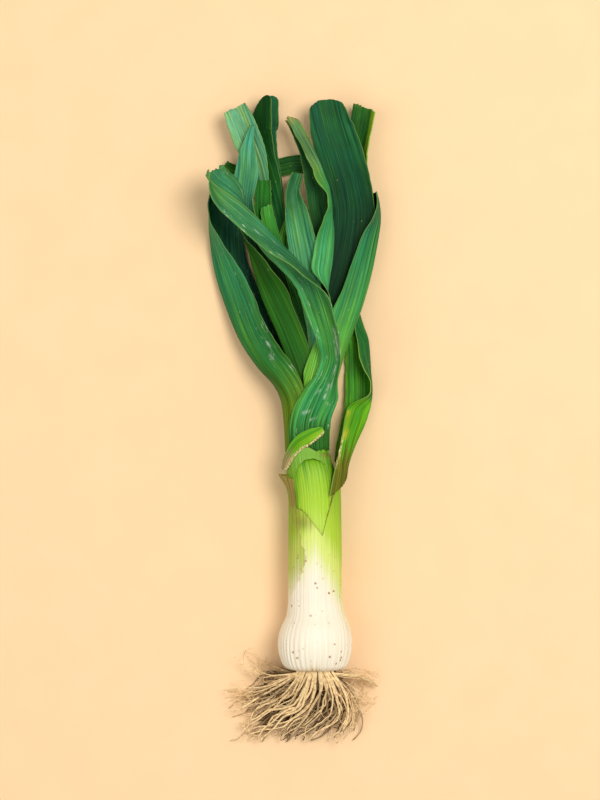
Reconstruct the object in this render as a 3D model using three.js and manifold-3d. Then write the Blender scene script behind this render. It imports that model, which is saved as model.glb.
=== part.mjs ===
// A leek, pulled with its roots on and its leaf ends cut, lying on its side.
// Millimetres. The surface it lies on is z = 0, +Y runs from the roots to the leaf ends, and +Z is up.
// The origin is the small flat spot on which the bulb rests.
import * as THREE from 'three';
import { mergeVertices } from 'three/addons/utils/BufferGeometryUtils.js';
import Module from 'manifold-3d';

const wasm = await Module();
wasm.setup();

// Driving dimensions
const BULB_RADIUS = 24.7;
const SHAFT_RADIUS = 17.9;
const BASE_PLATE_Y = -22.5;
const BLADE_EDGE = 0.65; // blade thickness at its margins
const BLADE_RIB = 0.75; // blade thickness at its midrib
const RIB_WIDTH = 0.67; // share of the half width over which the blade thins from rib to margin

// Resolution of the faceted surfaces
const BLADE_STEPS = 16;
const BLADE_ACROSS = [-1, -0.55, -0.2, 0, 0.2, 0.55, 1];
const FRAME_STEPS = 80;
const SHAFT_SIDES = 36;
const MERGE_DISTANCE = 1e-4;
const ELLIPSE_SHARE = 0.98; // how much of an ellipse a rounded end follows, short of its steep last part
const FLAT_FOLD = 1e-4; // a fold of fewer radians than this is taken as flat

// Colours and finishes
const finish = (color, roughness) => new THREE.MeshStandardMaterial({ color, roughness, metalness: 0 });
const LEAF_DARK = finish(0x2a6a3c, 0.5);
const LEAF_LIGHT = finish(0x5aa45c, 0.55);
const SHEATH_GREEN = finish(0xa6cf4a, 0.45);
const ROOT_TAN = finish(0xcbb083, 0.85);

const radians = THREE.MathUtils.degToRad;
const spline = (points) => new THREE.CatmullRomCurve3(points, false, 'catmullrom', 0.5);

// A leaf blade's midrib and cross-section, from hand-set stations along it.
// Each station is [x, y, z, half width, left, right, bend].
// The blade's two halves meet at the midrib. left and right are the angles in degrees by which each half
// lifts towards the viewer above: 0 lies flat, 90 stands up, 180 is folded over onto the other side.
// bend is the distance from the midrib over which that fold is rounded.
class Blade {
  constructor({ stations, start = {}, end = {} }) {
    this.line = spline(stations.map(([x, y, z]) => new THREE.Vector3(x, y, z)));
    this.size = spline(stations.map(([, , , half, , , bend]) => new THREE.Vector3(half, bend, 0)));
    this.turn = spline(stations.map(([, , , , left, right]) => new THREE.Vector3(left, right, 0)));
    this.start = start;
    this.end = end;
    this.length = this.line.getLength();
    this.sides = this.transportSides();
  }

  // Side vectors that turn as little as possible along the midrib.
  transportSides() {
    const up = new THREE.Vector3(0, 0, 1);
    const sides = [new THREE.Vector3().crossVectors(this.line.getTangent(0), up).normalize()];
    for (let i = 1; i <= FRAME_STEPS; i += 1) {
      const tangent = this.line.getTangent(i / FRAME_STEPS);
      const side = sides[i - 1].clone();
      side.addScaledVector(tangent, -side.dot(tangent)).normalize();
      sides.push(side);
    }
    return sides;
  }

  sideAt(t) {
    const place = Math.min(Math.max(t, 0), 1) * FRAME_STEPS;
    const low = Math.min(Math.floor(place), FRAME_STEPS - 1);
    return this.sides[low].clone().lerp(this.sides[low + 1], place - low).normalize();
  }

  // How far past the last or first station the blade's edge lies, in mm, at v from -1 to 1 across it.
  // skew slants the cut, tail draws both margins out, and round draws them in along an ellipse.
  static reach({ skew = 0, tail = 0, round = 0 }, v) {
    const drawnIn = 1 - Math.sqrt(1 - v * v * ELLIPSE_SHARE);
    return skew * v + tail * Math.sin((Math.PI / 2) * Math.abs(v)) - round * drawnIn;
  }

  // The place at u from 0 to 1 along the blade and v across it. Lift 1 is its upper face and -1 its lower.
  point(u, v, lift) {
    const from = -Blade.reach(this.start, v) / this.length;
    const to = 1 + Blade.reach(this.end, v) / this.length;
    const t = from + (to - from) * u;
    const inside = Math.min(Math.max(t, 0), 1);
    const tangent = this.line.getTangent(inside);
    const centre = this.line.getPoint(inside).addScaledVector(tangent, (t - inside) * this.length);
    const [half, bend] = this.size.getPoint(inside).toArray();
    const [left, right] = this.turn.getPoint(inside).toArray();
    const roll = radians((right - left) / 2);
    const fold = radians((right + left) / 2);
    const across = this.sideAt(inside);
    const above = new THREE.Vector3().crossVectors(across, tangent);
    const side = across.clone().multiplyScalar(Math.cos(roll)).addScaledVector(above, Math.sin(roll));
    const face = above.multiplyScalar(Math.cos(roll)).addScaledVector(across, -Math.sin(roll));
    const sign = Math.sign(v);
    const distance = Math.abs(v) * half;
    const bent = Math.min(distance, bend);
    const angle = (fold * bent) / bend;
    const straight = distance - bent;
    const flat = Math.abs(angle) < FLAT_FOLD;
    const out = (flat ? bent : (bent * Math.sin(angle)) / angle) + straight * Math.cos(angle);
    const rise = (flat ? 0 : (bent * (1 - Math.cos(angle))) / angle) + straight * Math.sin(angle);
    const thickness = BLADE_RIB + (BLADE_EDGE - BLADE_RIB) * Math.min(1, Math.abs(v) / RIB_WIDTH);
    const normalSide = -sign * Math.sin(angle) * lift * (thickness / 2);
    const normalFace = Math.cos(angle) * lift * (thickness / 2);
    return centre.addScaledVector(side, sign * out + normalSide).addScaledVector(face, rise + normalFace);
  }

  geometry(steps = BLADE_STEPS) {
    const columns = BLADE_ACROSS.length;
    const positions = [];
    for (const lift of [1, -1]) {
      for (let i = 0; i <= steps; i += 1) {
        for (const v of BLADE_ACROSS) positions.push(...this.point(i / steps, v, lift).toArray());
      }
    }
    const below = (steps + 1) * columns;
    const index = [];
    const quad = (a, b, c, d) => index.push(a, b, c, a, c, d);
    for (let i = 0; i < steps; i += 1) {
      for (let j = 0; j < columns - 1; j += 1) {
        const a = i * columns + j;
        const [b, c, d] = [a + 1, a + columns + 1, a + columns];
        quad(a, b, c, d);
        index.push(a + below, c + below, b + below, a + below, d + below, c + below);
      }
      const left = i * columns;
      quad(left, left + columns, left + columns + below, left + below);
      const right = left + columns - 1;
      quad(right, right + below, right + columns + below, right + columns);
    }
    for (let j = 0; j < columns - 1; j += 1) {
      quad(j, j + below, j + 1 + below, j + 1);
      const last = steps * columns + j;
      quad(last, last + 1, last + 1 + below, last + below);
    }
    return indexedGeometry(positions, index);
  }
}

// A surface of shared points, with its triangles as rows of three places in the list of points.
function indexedGeometry(positions, index) {
  const geometry = new THREE.BufferGeometry();
  geometry.setAttribute('position', new THREE.Float32BufferAttribute(positions, 3));
  geometry.setIndex(index);
  return geometry;
}

function solidOf(geometry) {
  const bare = new THREE.BufferGeometry();
  bare.setAttribute('position', geometry.attributes.position);
  bare.setIndex(geometry.index);
  const merged = mergeVertices(bare, MERGE_DISTANCE);
  return new wasm.Manifold(new wasm.Mesh({
    numProp: 3,
    vertProperties: merged.attributes.position.array,
    triVerts: new Uint32Array(merged.index.array),
  }));
}

function geometryOf(solid) {
  const mesh = solid.getMesh();
  return indexedGeometry(Array.from(mesh.vertProperties), Array.from(mesh.triVerts));
}

// One closed surface round all the given ones.
const fuse = (geometries) => geometryOf(geometries.map(solidOf).reduce((whole, next) => whole.add(next)));

// The leaf blades. Stations run from the base to the cut end.
const LEAVES = {
  leaf_left_outer: {
    material: LEAF_DARK,
    stations: [
      [-19.2, 124, 20, 21, 180, 0, 22.5],
      [-20.4, 145, 19.8, 22, 180, 0, 22],
      [-22.4, 160, 20, 24, 180, 0, 21.5],
      [-28, 171, 19.6, 26.5, 172, 2, 20],
      [-38, 182, 17, 27, 166, 4, 14],
      [-50, 200, 11.6, 26.5, 160, 4, 9],
      [-60, 224, 6.2, 26, 157, 4, 7],
      [-67, 247, 3.1, 24, 146, 3, 6],
      [-69.5, 268, 4, 22, 118, 3, 5],
      [-69, 285, 5.6, 19, 95, 3, 5],
      [-67.5, 303, 8, 15, 88, 3, 5],
    ],
    end: { skew: 10 },
  },
  leaf_right_outer: {
    material: LEAF_LIGHT,
    stations: [
      [9.2, 124, 20, 20.5, 0, 180, 22],
      [8.6, 145, 19.4, 22, 0, 180, 20],
      [11, 160, 19.5, 26, 0, 180, 19],
      [14.5, 172, 18.8, 29.6, 0, 178, 17.5],
      [19.5, 190, 17.4, 28, 0, 176, 16.4],
      [25.5, 206, 16.4, 24.5, 0, 174, 13],
      [32, 224, 14.4, 21.5, 0, 168, 10],
      [38, 246, 12.4, 19.5, 0, 160, 8],
      [42, 268, 11, 18, 1, 140, 6],
      [42.9, 281, 10.5, 16, 2, 116, 5],
      [41.6, 291, 10, 12, 3, 102, 5],
      [39.6, 299, 9.6, 6.5, 4, 92, 4],
    ],
  },
  leaf_front: {
    material: LEAF_LIGHT,
    stations: [
      [-4, 126, 35.9, 15.2, -55, -54, 16],
      [-3.4, 145, 37, 14.5, -38, -34, 14],
      [2.2, 160, 39.8, 12.4, -36, -20, 12],
      [8.2, 172, 41, 11.4, -30, 60, 9],
      [12.8, 186, 42, 10.8, -26, 76, 7],
      [11.5, 200, 43, 12, -22, 80, 7],
      [8, 213, 43, 13, -20, 74, 7],
      [3.6, 227, 42.5, 13.5, -12, 80, 6],
      [-2, 240, 42, 13, -4, 112, 5],
      [-12, 252.5, 41.5, 13, -8, 132, 5],
      [-24, 265, 41.5, 14, -20, 146, 3],
      [-36, 278, 42, 15, -56, 156, 2.4],
      [-48, 289, 43, 15, -104, 152, 2],
      [-59, 296.6, 42.4, 15, -146, 134, 2],
      [-67.6, 303, 40.6, 15, -160, 92, 2],
      [-72.6, 309.4, 39.6, 14, -164, 66, 2],
    ],
  },
  leaf_right_broad: {
    material: LEAF_DARK,
    stations: [
      [-4, 153, 13.4, 7, 2, 2, 6],
      [2.5, 190, 12.9, 7, 2, 2, 8],
      [12, 222, 13.4, 8.5, 4, 2, 8],
      [22, 258, 13.4, 13, 8, 4, 9],
      [25.5, 284, 14.6, 14.5, 2, 8, 10],
      [22.2, 305, 16.4, 15.4, 0, 14, 10],
      [16.6, 325, 18, 15.8, 4, 16, 10],
      [10.8, 343, 20, 14.6, 14, 20, 10],
      [6.4, 361, 21.5, 10.6, 22, 24, 10],
    ],
    end: { skew: -1.5, round: 8.5 },
  },
  leaf_left_pinched: {
    material: LEAF_DARK,
    stations: [
      [-12, 153, 25, 10, 178, 2, 1.6],
      [-14, 172, 24.8, 14, 178, 2, 1.6],
      [-19, 188, 24.7, 17, 176, 2, 2],
      [-25.8, 206, 23, 17.8, 170, 2, 2.6],
      [-34.4, 226, 19.8, 20, 160, 2, 3],
      [-39.5, 243, 18.8, 19.5, 132, 2, 3],
      [-43, 257, 18, 18, 112, 8, 3],
      [-45.5, 268, 18, 15, 92, 24, 3],
      [-47.5, 280, 19, 12, 72, 40, 3],
      [-47.4, 293, 20.6, 8.6, 30, 56, 4],
      [-46.2, 305, 22.2, 8.4, 16, 36, 5],
      [-45.2, 316, 23.6, 7.4, 12, 14, 6],
      [-44.8, 326, 24.6, 5.2, 10, 10, 6],
      [-43.6, 335, 24.8, 2.8, 10, 10, 4],
      [-41.4, 343, 24.4, 1.4, 10, 10, 3],
    ],
  },
  leaf_inner_left: {
    material: LEAF_LIGHT,
    stations: [
      [-5, 153, 19.5, 7, 2, 2, 6],
      [-6, 190, 19.3, 8, 2, 2, 6],
      [-14, 224, 15.5, 8, 2, 2, 6],
      [-23, 243, 14.6, 8, 2, 2, 6],
      [-29.5, 257, 14.8, 7.5, 4, 4, 6],
      [-34, 274, 17, 6.4, 8, 8, 6],
      [-34.9, 290, 19.8, 5.8, 12, 12, 6],
      [-34.6, 300, 20.8, 5.4, 14, 14, 5],
      [-34.4, 307, 21.6, 4.6, 14, 14, 5],
    ],
    end: { skew: 1.2, round: 1.4 },
  },
  leaf_inner_left_short: {
    material: LEAF_LIGHT,
    stations: [
      [-5, 153, 20.6, 6.5, 2, 2, 6],
      [-5, 190, 20.4, 7, 2, 2, 6],
      [-11, 224, 16.8, 7, 2, 2, 6],
      [-18.6, 243, 15.9, 6, 2, 2, 6],
      [-26.6, 264, 17.2, 5, 6, 8, 5],
      [-31.4, 281, 21.2, 4.6, 12, 12, 5],
      [-32.6, 290, 22.4, 3.6, 10, 10, 4],
    ],
    end: { skew: 2, round: 1.5 },
  },
  leaf_centre_folded: {
    material: LEAF_LIGHT,
    stations: [
      [-4, 153, 22.8, 6.5, 2, 2, 6],
      [0, 192, 22.7, 4.2, 2, 2, 6],
      [-2.2, 224, 22.8, 6.6, 6, 4, 5],
      [-6, 251, 20.6, 10, 24, 22, 4],
      [-9.8, 270, 19, 10.4, 32, 28, 3],
      [-12.6, 285, 18, 8.8, 38, 32, 3],
      [-14.8, 298, 18, 5.8, 44, 40, 3],
      [-13.4, 306, 18.3, 4.6, 34, 30, 3],
      [-11.6, 312, 18.5, 3.8, 30, 20, 3],
    ],
    end: { round: 2.4 },
  },
  leaf_centre_tall: {
    material: LEAF_LIGHT,
    stations: [
      [-4, 153, 21.7, 5, 2, 2, 4],
      [-2, 190, 21.6, 5.5, 2, 2, 4],
      [2, 214, 21, 6, 2, 8, 4],
      [6.4, 229, 20.6, 9, 4, 76, 4],
      [10, 244, 20, 15.5, 6, 156, 4],
      [11.8, 257, 19, 16, 5, 160, 4],
      [12.4, 272, 18.6, 14.8, 5, 152, 5],
      [10.6, 284, 19.4, 14.6, 8, 120, 5],
      [9.2, 293, 20.6, 14.8, 8, 101, 5],
      [8, 302, 21.8, 15, 8, 110, 5],
      [5.6, 310, 22.6, 14, 8, 125, 4],
      [2.7, 318, 23, 12.4, 8, 130, 4],
      [-2.2, 329, 22.6, 10, 8, 146, 4],
      [-6.4, 339, 21.4, 9.6, 6, 156, 3],
      [-10.2, 345.5, 20, 8.6, 4, 156, 3],
    ],
    end: { tail: 7 },
  },
  leaf_top_left: {
    material: LEAF_LIGHT,
    stations: [
      [-5, 153, 18.45, 6.5, 2, 2, 6],
      [-7, 190, 18.3, 7, 2, 2, 6],
      [-14, 222, 14.45, 7.5, 2, 2, 6],
      [-25.2, 252, 13.2, 6, 2, 2, 6],
      [-33, 285, 14.4, 5.2, 6, 8, 5],
      [-36.8, 308, 17, 6, 8, 14, 4],
      [-40.6, 323, 18.6, 8.8, 10, 22, 3],
      [-45.6, 336, 19.4, 10, 12, 26, 3],
      [-50, 347, 20, 9.4, 14, 26, 3],
      [-53.6, 355.5, 20, 8.2, 14, 26, 3],
    ],
    end: { skew: 0.6 },
  },
  leaf_looped: {
    material: LEAF_DARK,
    stations: [
      [-8, 153, 15.45, 7, 178, 2, 1.4],
      [-10, 190, 15.05, 8, 178, 2, 1.4],
      [-17, 222, 10.4, 8, 178, 2, 1.6],
      [-25, 256, 8, 8, 178, 2, 1.8],
      [-29.6, 283, 7, 10.5, 172, 2, 2.6],
      [-34, 304, 6.8, 13.5, 166, 4, 3.4],
      [-38.8, 322, 7, 15.4, 158, 10, 4],
      [-42, 338, 8, 17.4, 150, 10, 4],
      [-42, 345.6, 9, 18.6, 142, 8, 4],
    ],
    end: { skew: -0.6, tail: 24, round: 9 },
  },
  leaf_crosswise: {
    material: LEAF_DARK,
    stations: [
      [-4, 153, 9, 4, 2, 2, 4],
      [-4.6, 190, 8.6, 4.6, 2, 2, 4],
      [-4, 204, 8.2, 4.8, 2, 2, 4],
      [1, 226, 6, 5.2, 2, 2, 4],
      [10, 258, 5, 6, 2, 2, 4],
      [14.6, 290, 6, 6.2, 40, -40, 5],
      [7, 311, 7, 6.2, 90, -90, 6],
      [-8, 318.5, 5, 6.2, 160, -160, 6],
      [-26, 316, 2.7, 6.2, 178, -178, 6],
      [-44, 312, 2.6, 6.2, 178, -178, 6],
      [-56, 313, 4, 6, 170, -170, 6],
      [-62, 317, 6, 5, 150, -150, 5],
    ],
  },
  leaf_heart: {
    material: LEAF_LIGHT,
    stations: [
      [-4, 153, 17.3, 6, 2, 2, 5],
      [-5, 190, 17.1, 6, 2, 2, 5],
      [-10, 224, 13, 5.6, 2, 2, 5],
      [-18, 252, 11.8, 4.6, 2, 2, 4],
      [-21, 266, 11.8, 3.8, 4, 8, 4],
      [-18, 281, 12.4, 2.4, 12, 12, 3],
    ],
    end: { round: 3 },
  },
  leaf_inner_right: {
    material: LEAF_DARK,
    stations: [
      [-3, 153, 12.3, 6, 2, 2, 5],
      [2, 190, 11.8, 6, 2, 2, 5],
      [10, 222, 12.2, 6, 2, 2, 4],
      [15.4, 250, 12, 5.5, 4, 4, 4],
      [16.8, 268, 12, 4.5, 6, 6, 4],
      [14.5, 290, 12.4, 3.8, 12, 12, 4],
      [11, 303, 12.6, 3, 12, 10, 3],
    ],
    end: { round: 3 },
  },
  leaf_inner_right_torn: {
    material: LEAF_DARK,
    stations: [
      [-3, 153, 11.2, 5, 2, 2, 4],
      [3, 190, 10.7, 5.5, 2, 2, 4],
      [12, 222, 11, 5.6, 2, 2, 4],
      [19.6, 246, 10.8, 5.6, 2, 2, 4],
      [22, 262, 10.9, 4.4, 4, 4, 4],
      [21, 277, 11, 2.2, 6, 6, 3],
    ],
    end: { round: 2 },
  },
  leaf_top_right: {
    material: LEAF_DARK,
    stations: [
      [-3, 153, 10.1, 5, 2, 2, 4],
      [4, 190, 9.6, 6, 2, 2, 4],
      [14, 222, 9.8, 7, 2, 2, 4],
      [22, 258, 9.5, 9, 2, 2, 4],
      [25.4, 290, 10.4, 8.6, 2, 6, 3],
      [27.4, 308, 10, 9.4, 2, 36, 3],
      [30.4, 324, 9.6, 11, 4, 70, 3],
      [34, 340, 11, 11.6, 4, 76, 3],
      [36.8, 355.5, 13, 11.6, 4, 76, 3],
    ],
    end: { skew: -2 },
  },
  leaf_low_right: {
    material: LEAF_LIGHT,
    stations: [
      [21, 109, 21.5, 18, -28, 152, 18],
      [22.6, 118, 20, 16.5, -24, 152, 15],
      [27, 130, 16, 16, -12, 156, 9],
      [32.6, 142, 11.4, 17.4, 0, 164, 6],
      [35.2, 149, 9, 17.4, 3, 156, 4],
      [36.4, 155, 7, 17, 4, 128, 4],
      [36.8, 161, 5.6, 17, 4, 100, 4],
      [36.9, 169, 4.2, 16.8, 4, 98, 4],
      [36.6, 179, 3.2, 16.6, 3, 112, 4],
      [36.2, 189, 2.74, 16.4, 3, 124, 4],
      [35.4, 200, 2.9, 14, 4, 136, 4],
      [32.4, 210, 3.8, 9, 4, 146, 3],
      [30, 218, 4, 5, 4, 146, 2],
    ],
    start: { skew: 14, tail: 3 },
  },
  sheath_stub: {
    material: SHEATH_GREEN,
    stations: [
      [-20.8, 113, 29.2, 2.2, -20, -20, 3],
      [-17.2, 122, 34.9, 3.2, -20, -16, 4],
      [-11.4, 130.4, 38.4, 4.6, -18, -8, 5],
      [-4, 135.4, 39.6, 5, -14, -4, 5],
      [2.6, 138.8, 39, 3.6, -10, -4, 4],
      [5.6, 140.8, 38, 1.4, -8, -4, 3],
    ],
  },
};

// The shaft: rows of [y, centre x, centre z, radius] from the base plate upwards.
const OUTER_SHEATH = [
  [-20.6, 0, 24.2, 9],
  [-20, 0, 24.2, 14.5],
  [-18, 0.2, 24.2, 19.8],
  [-14, 0, 24.2, 22.3],
  [-8, 0, 24.2, 24.1],
  [-1.6, 0, 24.2, BULB_RADIUS],
  [4, 0.1, 24.1, 24.2],
  [10, 0.4, 23.9, 22.6],
  [16, 0.7, 23.5, 20],
  [23, 0.3, 23.1, 18.5],
  [32, 0, 22.8, 18],
  [60, 0, 22.3, SHAFT_RADIUS],
  [88, -0.1, 22, 17.6],
  [98, -0.6, 22, 17.9],
  [107.5, -1.6, 22, 18.6],
];
const COLLAR = [
  [84, -0.1, 22, 16.6],
  [98, -0.8, 22, 16.6],
  [108, -2.4, 21.8, 16.4],
  [116, -4, 21.4, 15.9],
  [120.5, -4.8, 21.2, 15.3],
  [122.8, -5, 21, 14.9],
];
const INNER_SHEATH = [
  [60, 0, 22.2, 15.4],
  [84, 0, 22, 15.5],
  [98, -0.7, 22, 16.1],
  [108, -1.9, 21.8, 16.1],
  [114.5, -3.1, 21.4, 15.6],
  [119, -4.1, 20.9, 14.4],
  [121.6, -4.6, 20.5, 13],
  [124, -5, 20.2, 12.2],
  [126, -5, 20, 11.9],
  [150, -5, 19, 11],
];
// Outline of the opening torn in the outer sheath, seen from above.
const TORN_OPENING = [
  [5, 70], [2, 74], [-2, 79], [-6, 84], [-10, 87.5], [-13, 88], [-13.4, 95], [-14.6, 103], [-15, 120],
  [30, 120], [24, 110.5], [20, 107], [17, 103.5], [14, 100], [12, 95], [10, 88], [7, 78],
];
// Outline of the window in the collar through which the inner sheath swells.
const COLLAR_WINDOW = [
  [5, 60], [-20, 60], [-14, 95], [-14.2, 103], [-14, 110], [-11.5, 116], [-7, 120.4], [-1, 121.4],
  [4, 119.6], [8.5, 115], [11.2, 109], [12, 103], [12, 97], [20, 60],
];

// A closed tube with a round section at each row.
function tubeOf(rows) {
  const positions = [];
  const index = [];
  for (const [y, x, z, radius] of rows) {
    for (let side = 0; side < SHAFT_SIDES; side += 1) {
      const angle = (2 * Math.PI * side) / SHAFT_SIDES;
      positions.push(x + radius * Math.cos(angle), y, z + radius * Math.sin(angle));
    }
  }
  for (let row = 0; row < rows.length - 1; row += 1) {
    for (let side = 0; side < SHAFT_SIDES; side += 1) {
      const next = (side + 1) % SHAFT_SIDES;
      const a = row * SHAFT_SIDES + side;
      const b = row * SHAFT_SIDES + next;
      index.push(a, a + SHAFT_SIDES, b, b, a + SHAFT_SIDES, b + SHAFT_SIDES);
    }
  }
  const top = (rows.length - 1) * SHAFT_SIDES;
  for (let side = 1; side < SHAFT_SIDES - 1; side += 1) {
    index.push(0, side, side + 1);
    index.push(top, top + side + 1, top + side);
  }
  return indexedGeometry(positions, index);
}

// Heights above which the two openings go through their sheath, and how far up they are cut.
const TORN_OPENING_FROM = 22;
const COLLAR_WINDOW_FROM = 24;
const CUT_HEIGHT = 40;

// A block with the given outline in plan, standing on the given height.
function planBlock(outline, bottom) {
  const shape = new THREE.Shape(outline.map(([x, y]) => new THREE.Vector2(x, y)));
  const block = new THREE.ExtrudeGeometry(shape, { depth: CUT_HEIGHT, bevelEnabled: false });
  block.translate(0, 0, bottom);
  return solidOf(block);
}

// Everything under the surface that the leek lies on, which gives the bulb its small flat spot.
function underSurface() {
  const [width, length, depth] = [4 * BULB_RADIUS, 16 * BULB_RADIUS, BULB_RADIUS];
  return solidOf(new THREE.BoxGeometry(width, length, depth).translate(0, 0, -depth / 2));
}

// The bulb and the rolled sheaths above it: one inside the other, the outer two torn open over the front.
function shaft() {
  const outer = solidOf(tubeOf(OUTER_SHEATH)).subtract(planBlock(TORN_OPENING, TORN_OPENING_FROM));
  const collar = solidOf(tubeOf(COLLAR)).subtract(planBlock(COLLAR_WINDOW, COLLAR_WINDOW_FROM));
  const whole = solidOf(tubeOf(INNER_SHEATH)).add(collar).add(outer);
  return geometryOf(whole.subtract(underSurface()));
}

// The roots, as rows of [x, y] from the base plate outwards, seen from above.
const ROOT_PATHS = [
  [[-9, -22], [-22, -27], [-28, -29], [-33, -33], [-38, -39]],
  [[-8, -23], [-18, -30], [-28, -36], [-36, -38], [-45, -43], [-51, -48]],
  [[-7, -23], [-16, -33], [-24, -38], [-32, -43], [-42, -52]],
  [[-5, -23], [-10, -32], [-15, -40], [-24, -45], [-34, -52], [-44, -60], [-48, -64]],
  [[-3, -23], [-8, -33], [-14, -43], [-22, -46], [-30, -49], [-38, -57], [-49, -59]],
  [[-2, -23], [-5, -34], [-10, -44], [-20, -50], [-27, -58], [-34, -64], [-38, -70]],
  [[0, -23], [1, -30], [-1, -40], [-6, -47], [-16, -54], [-24, -58], [-40, -60]],
  [[2, -23], [4, -34], [0, -42], [-4, -50], [-10, -56], [-18, -63], [-22, -71]],
  [[4, -23], [8, -34], [9, -42], [8, -52], [2, -58], [-6, -64], [-14, -70]],
  [[6, -23], [11, -33], [15, -40], [17, -47], [14, -55], [8, -62], [-2, -68]],
  [[8, -23], [16, -31], [20, -40], [22, -50], [20, -58], [16, -65], [12, -69]],
  [[9, -22], [20, -34], [25, -42], [30, -47], [35, -47], [40, -42]],
  [[9, -22], [24, -24], [32, -26], [40, -30], [46, -34]],
  [[-9, -22], [-24, -22.5], [-33, -21.5], [-40, -20], [-52, -14]],
  [[-8, -23], [-26, -31], [-40, -36.5], [-50, -38], [-65, -38]],
];

const ROOT_SIDES = 5;
const ROOT_STEPS = 7;
const ROOT_LAYERS = [
  // [height at the base plate, height at the tip, turn in degrees, length factor, thickness at the base]
  [30, 7, 0, 1, 1.8],
  [21, 3, 5, 0.94, 1.7],
  [14, 1.2, -6, 0.97, 1.6],
];
const ROOT_TIP = 0.6; // thickness at the tip
const ROOT_INSET = 0.8; // roots start this share of their listed x from the middle, to sit inside the plate

// One stout root at the right, as [x, y, z], and its thickness.
const STOUT_ROOT = [
  [9, -24.4, 24], [16, -24.6, 22], [23, -23.6, 18.5],
  [30, -25, 14], [37, -29, 9], [42, -32.6, 5],
];
const STOUT_ROOT_THICKNESS = 4.4;

// The base plate under the bulb, from which the roots grow.
const PLATE = { upper: 13.5, lower: 11, depth: 3.2, sides: 24, z: 24 };

// A root: a tapered tube through the given points, closed by a point at both ends.
function root(points, thickness) {
  const line = spline(points);
  const frames = line.computeFrenetFrames(ROOT_STEPS, false);
  const positions = [];
  const index = [];
  for (let i = 0; i <= ROOT_STEPS; i += 1) {
    const t = i / ROOT_STEPS;
    const centre = line.getPoint(t);
    const radius = (thickness + (ROOT_TIP - thickness) * t) / 2;
    for (let side = 0; side < ROOT_SIDES; side += 1) {
      const angle = (2 * Math.PI * side) / ROOT_SIDES;
      const place = centre.clone()
        .addScaledVector(frames.normals[i], radius * Math.cos(angle))
        .addScaledVector(frames.binormals[i], radius * Math.sin(angle));
      positions.push(...place.toArray());
    }
  }
  for (let i = 0; i < ROOT_STEPS; i += 1) {
    for (let side = 0; side < ROOT_SIDES; side += 1) {
      const a = i * ROOT_SIDES + side;
      const b = i * ROOT_SIDES + ((side + 1) % ROOT_SIDES);
      index.push(a, b, a + ROOT_SIDES, b, b + ROOT_SIDES, a + ROOT_SIDES);
    }
  }
  const last = ROOT_STEPS * ROOT_SIDES;
  for (let side = 1; side < ROOT_SIDES - 1; side += 1) {
    index.push(0, side + 1, side);
    index.push(last, last + side, last + side + 1);
  }
  return indexedGeometry(positions, index);
}

function rootTuft() {
  const plate = new THREE.CylinderGeometry(PLATE.upper, PLATE.lower, PLATE.depth, PLATE.sides);
  plate.translate(0, BASE_PLATE_Y, PLATE.z);
  const pieces = [plate, root(STOUT_ROOT.map((place) => new THREE.Vector3(...place)), STOUT_ROOT_THICKNESS)];
  for (const [baseHeight, tipHeight, turn, reach, thickness] of ROOT_LAYERS) {
    for (const path of ROOT_PATHS) {
      const [startX, startY] = path[0];
      const points = path.map(([x, y], place) => {
        const along = place / (path.length - 1);
        const droop = baseHeight + (tipHeight - baseHeight) * Math.sin((Math.PI / 2) * along);
        const offset = new THREE.Vector3((x - startX) * reach, (y - startY) * reach, 0);
        offset.applyAxisAngle(new THREE.Vector3(0, 0, 1), radians(turn));
        return offset.add(new THREE.Vector3(startX * ROOT_INSET, startY, droop));
      });
      pieces.push(root(points, thickness));
    }
  }
  return fuse(pieces);
}

const group = new THREE.Group();

function addPart(name, geometry, material) {
  const mesh = new THREE.Mesh(geometry, material);
  mesh.name = name;
  group.add(mesh);
}

addPart('shaft', shaft(), SHEATH_GREEN);
addPart('root_tuft', rootTuft(), ROOT_TAN);
for (const [name, leaf] of Object.entries(LEAVES)) addPart(name, new Blade(leaf).geometry(), leaf.material);

export default group;
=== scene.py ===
"""A leek with its roots on, lying on its side on a pale floor, seen from straight above.

The leaves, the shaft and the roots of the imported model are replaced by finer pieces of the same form.
Sizes are in millimetres and become metres where a mesh is made.
"""
import math
import random

import bpy
import numpy as np
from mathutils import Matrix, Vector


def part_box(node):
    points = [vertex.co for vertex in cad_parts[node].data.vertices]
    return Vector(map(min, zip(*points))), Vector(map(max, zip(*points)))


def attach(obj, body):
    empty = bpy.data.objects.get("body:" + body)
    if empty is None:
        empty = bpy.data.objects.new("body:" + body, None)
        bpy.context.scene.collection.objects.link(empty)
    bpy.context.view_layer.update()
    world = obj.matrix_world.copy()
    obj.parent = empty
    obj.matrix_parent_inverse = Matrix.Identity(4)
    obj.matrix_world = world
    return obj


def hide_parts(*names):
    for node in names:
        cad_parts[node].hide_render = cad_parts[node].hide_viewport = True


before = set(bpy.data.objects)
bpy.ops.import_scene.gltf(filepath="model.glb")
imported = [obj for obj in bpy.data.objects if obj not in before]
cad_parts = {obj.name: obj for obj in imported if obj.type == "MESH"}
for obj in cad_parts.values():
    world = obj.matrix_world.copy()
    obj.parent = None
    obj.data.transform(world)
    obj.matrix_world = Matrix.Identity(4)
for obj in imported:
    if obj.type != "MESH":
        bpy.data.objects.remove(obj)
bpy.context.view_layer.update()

MM = 0.001

# Leaf blades
BLADE_EDGE = 0.65  # thickness at the margins
BLADE_RIB = 0.75  # thickness at the midrib
LEAF_SEED = 20
BLADE_STEPS = 130
BLADE_COLUMNS = 36
FRAME_STEPS = 80
MIDRIB_CROWDING = 1.25  # above 1, a blade's columns lie closer together at the midrib
ELLIPSE_SHARE = 0.98  # how much of a half ellipse a rounded end follows

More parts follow.
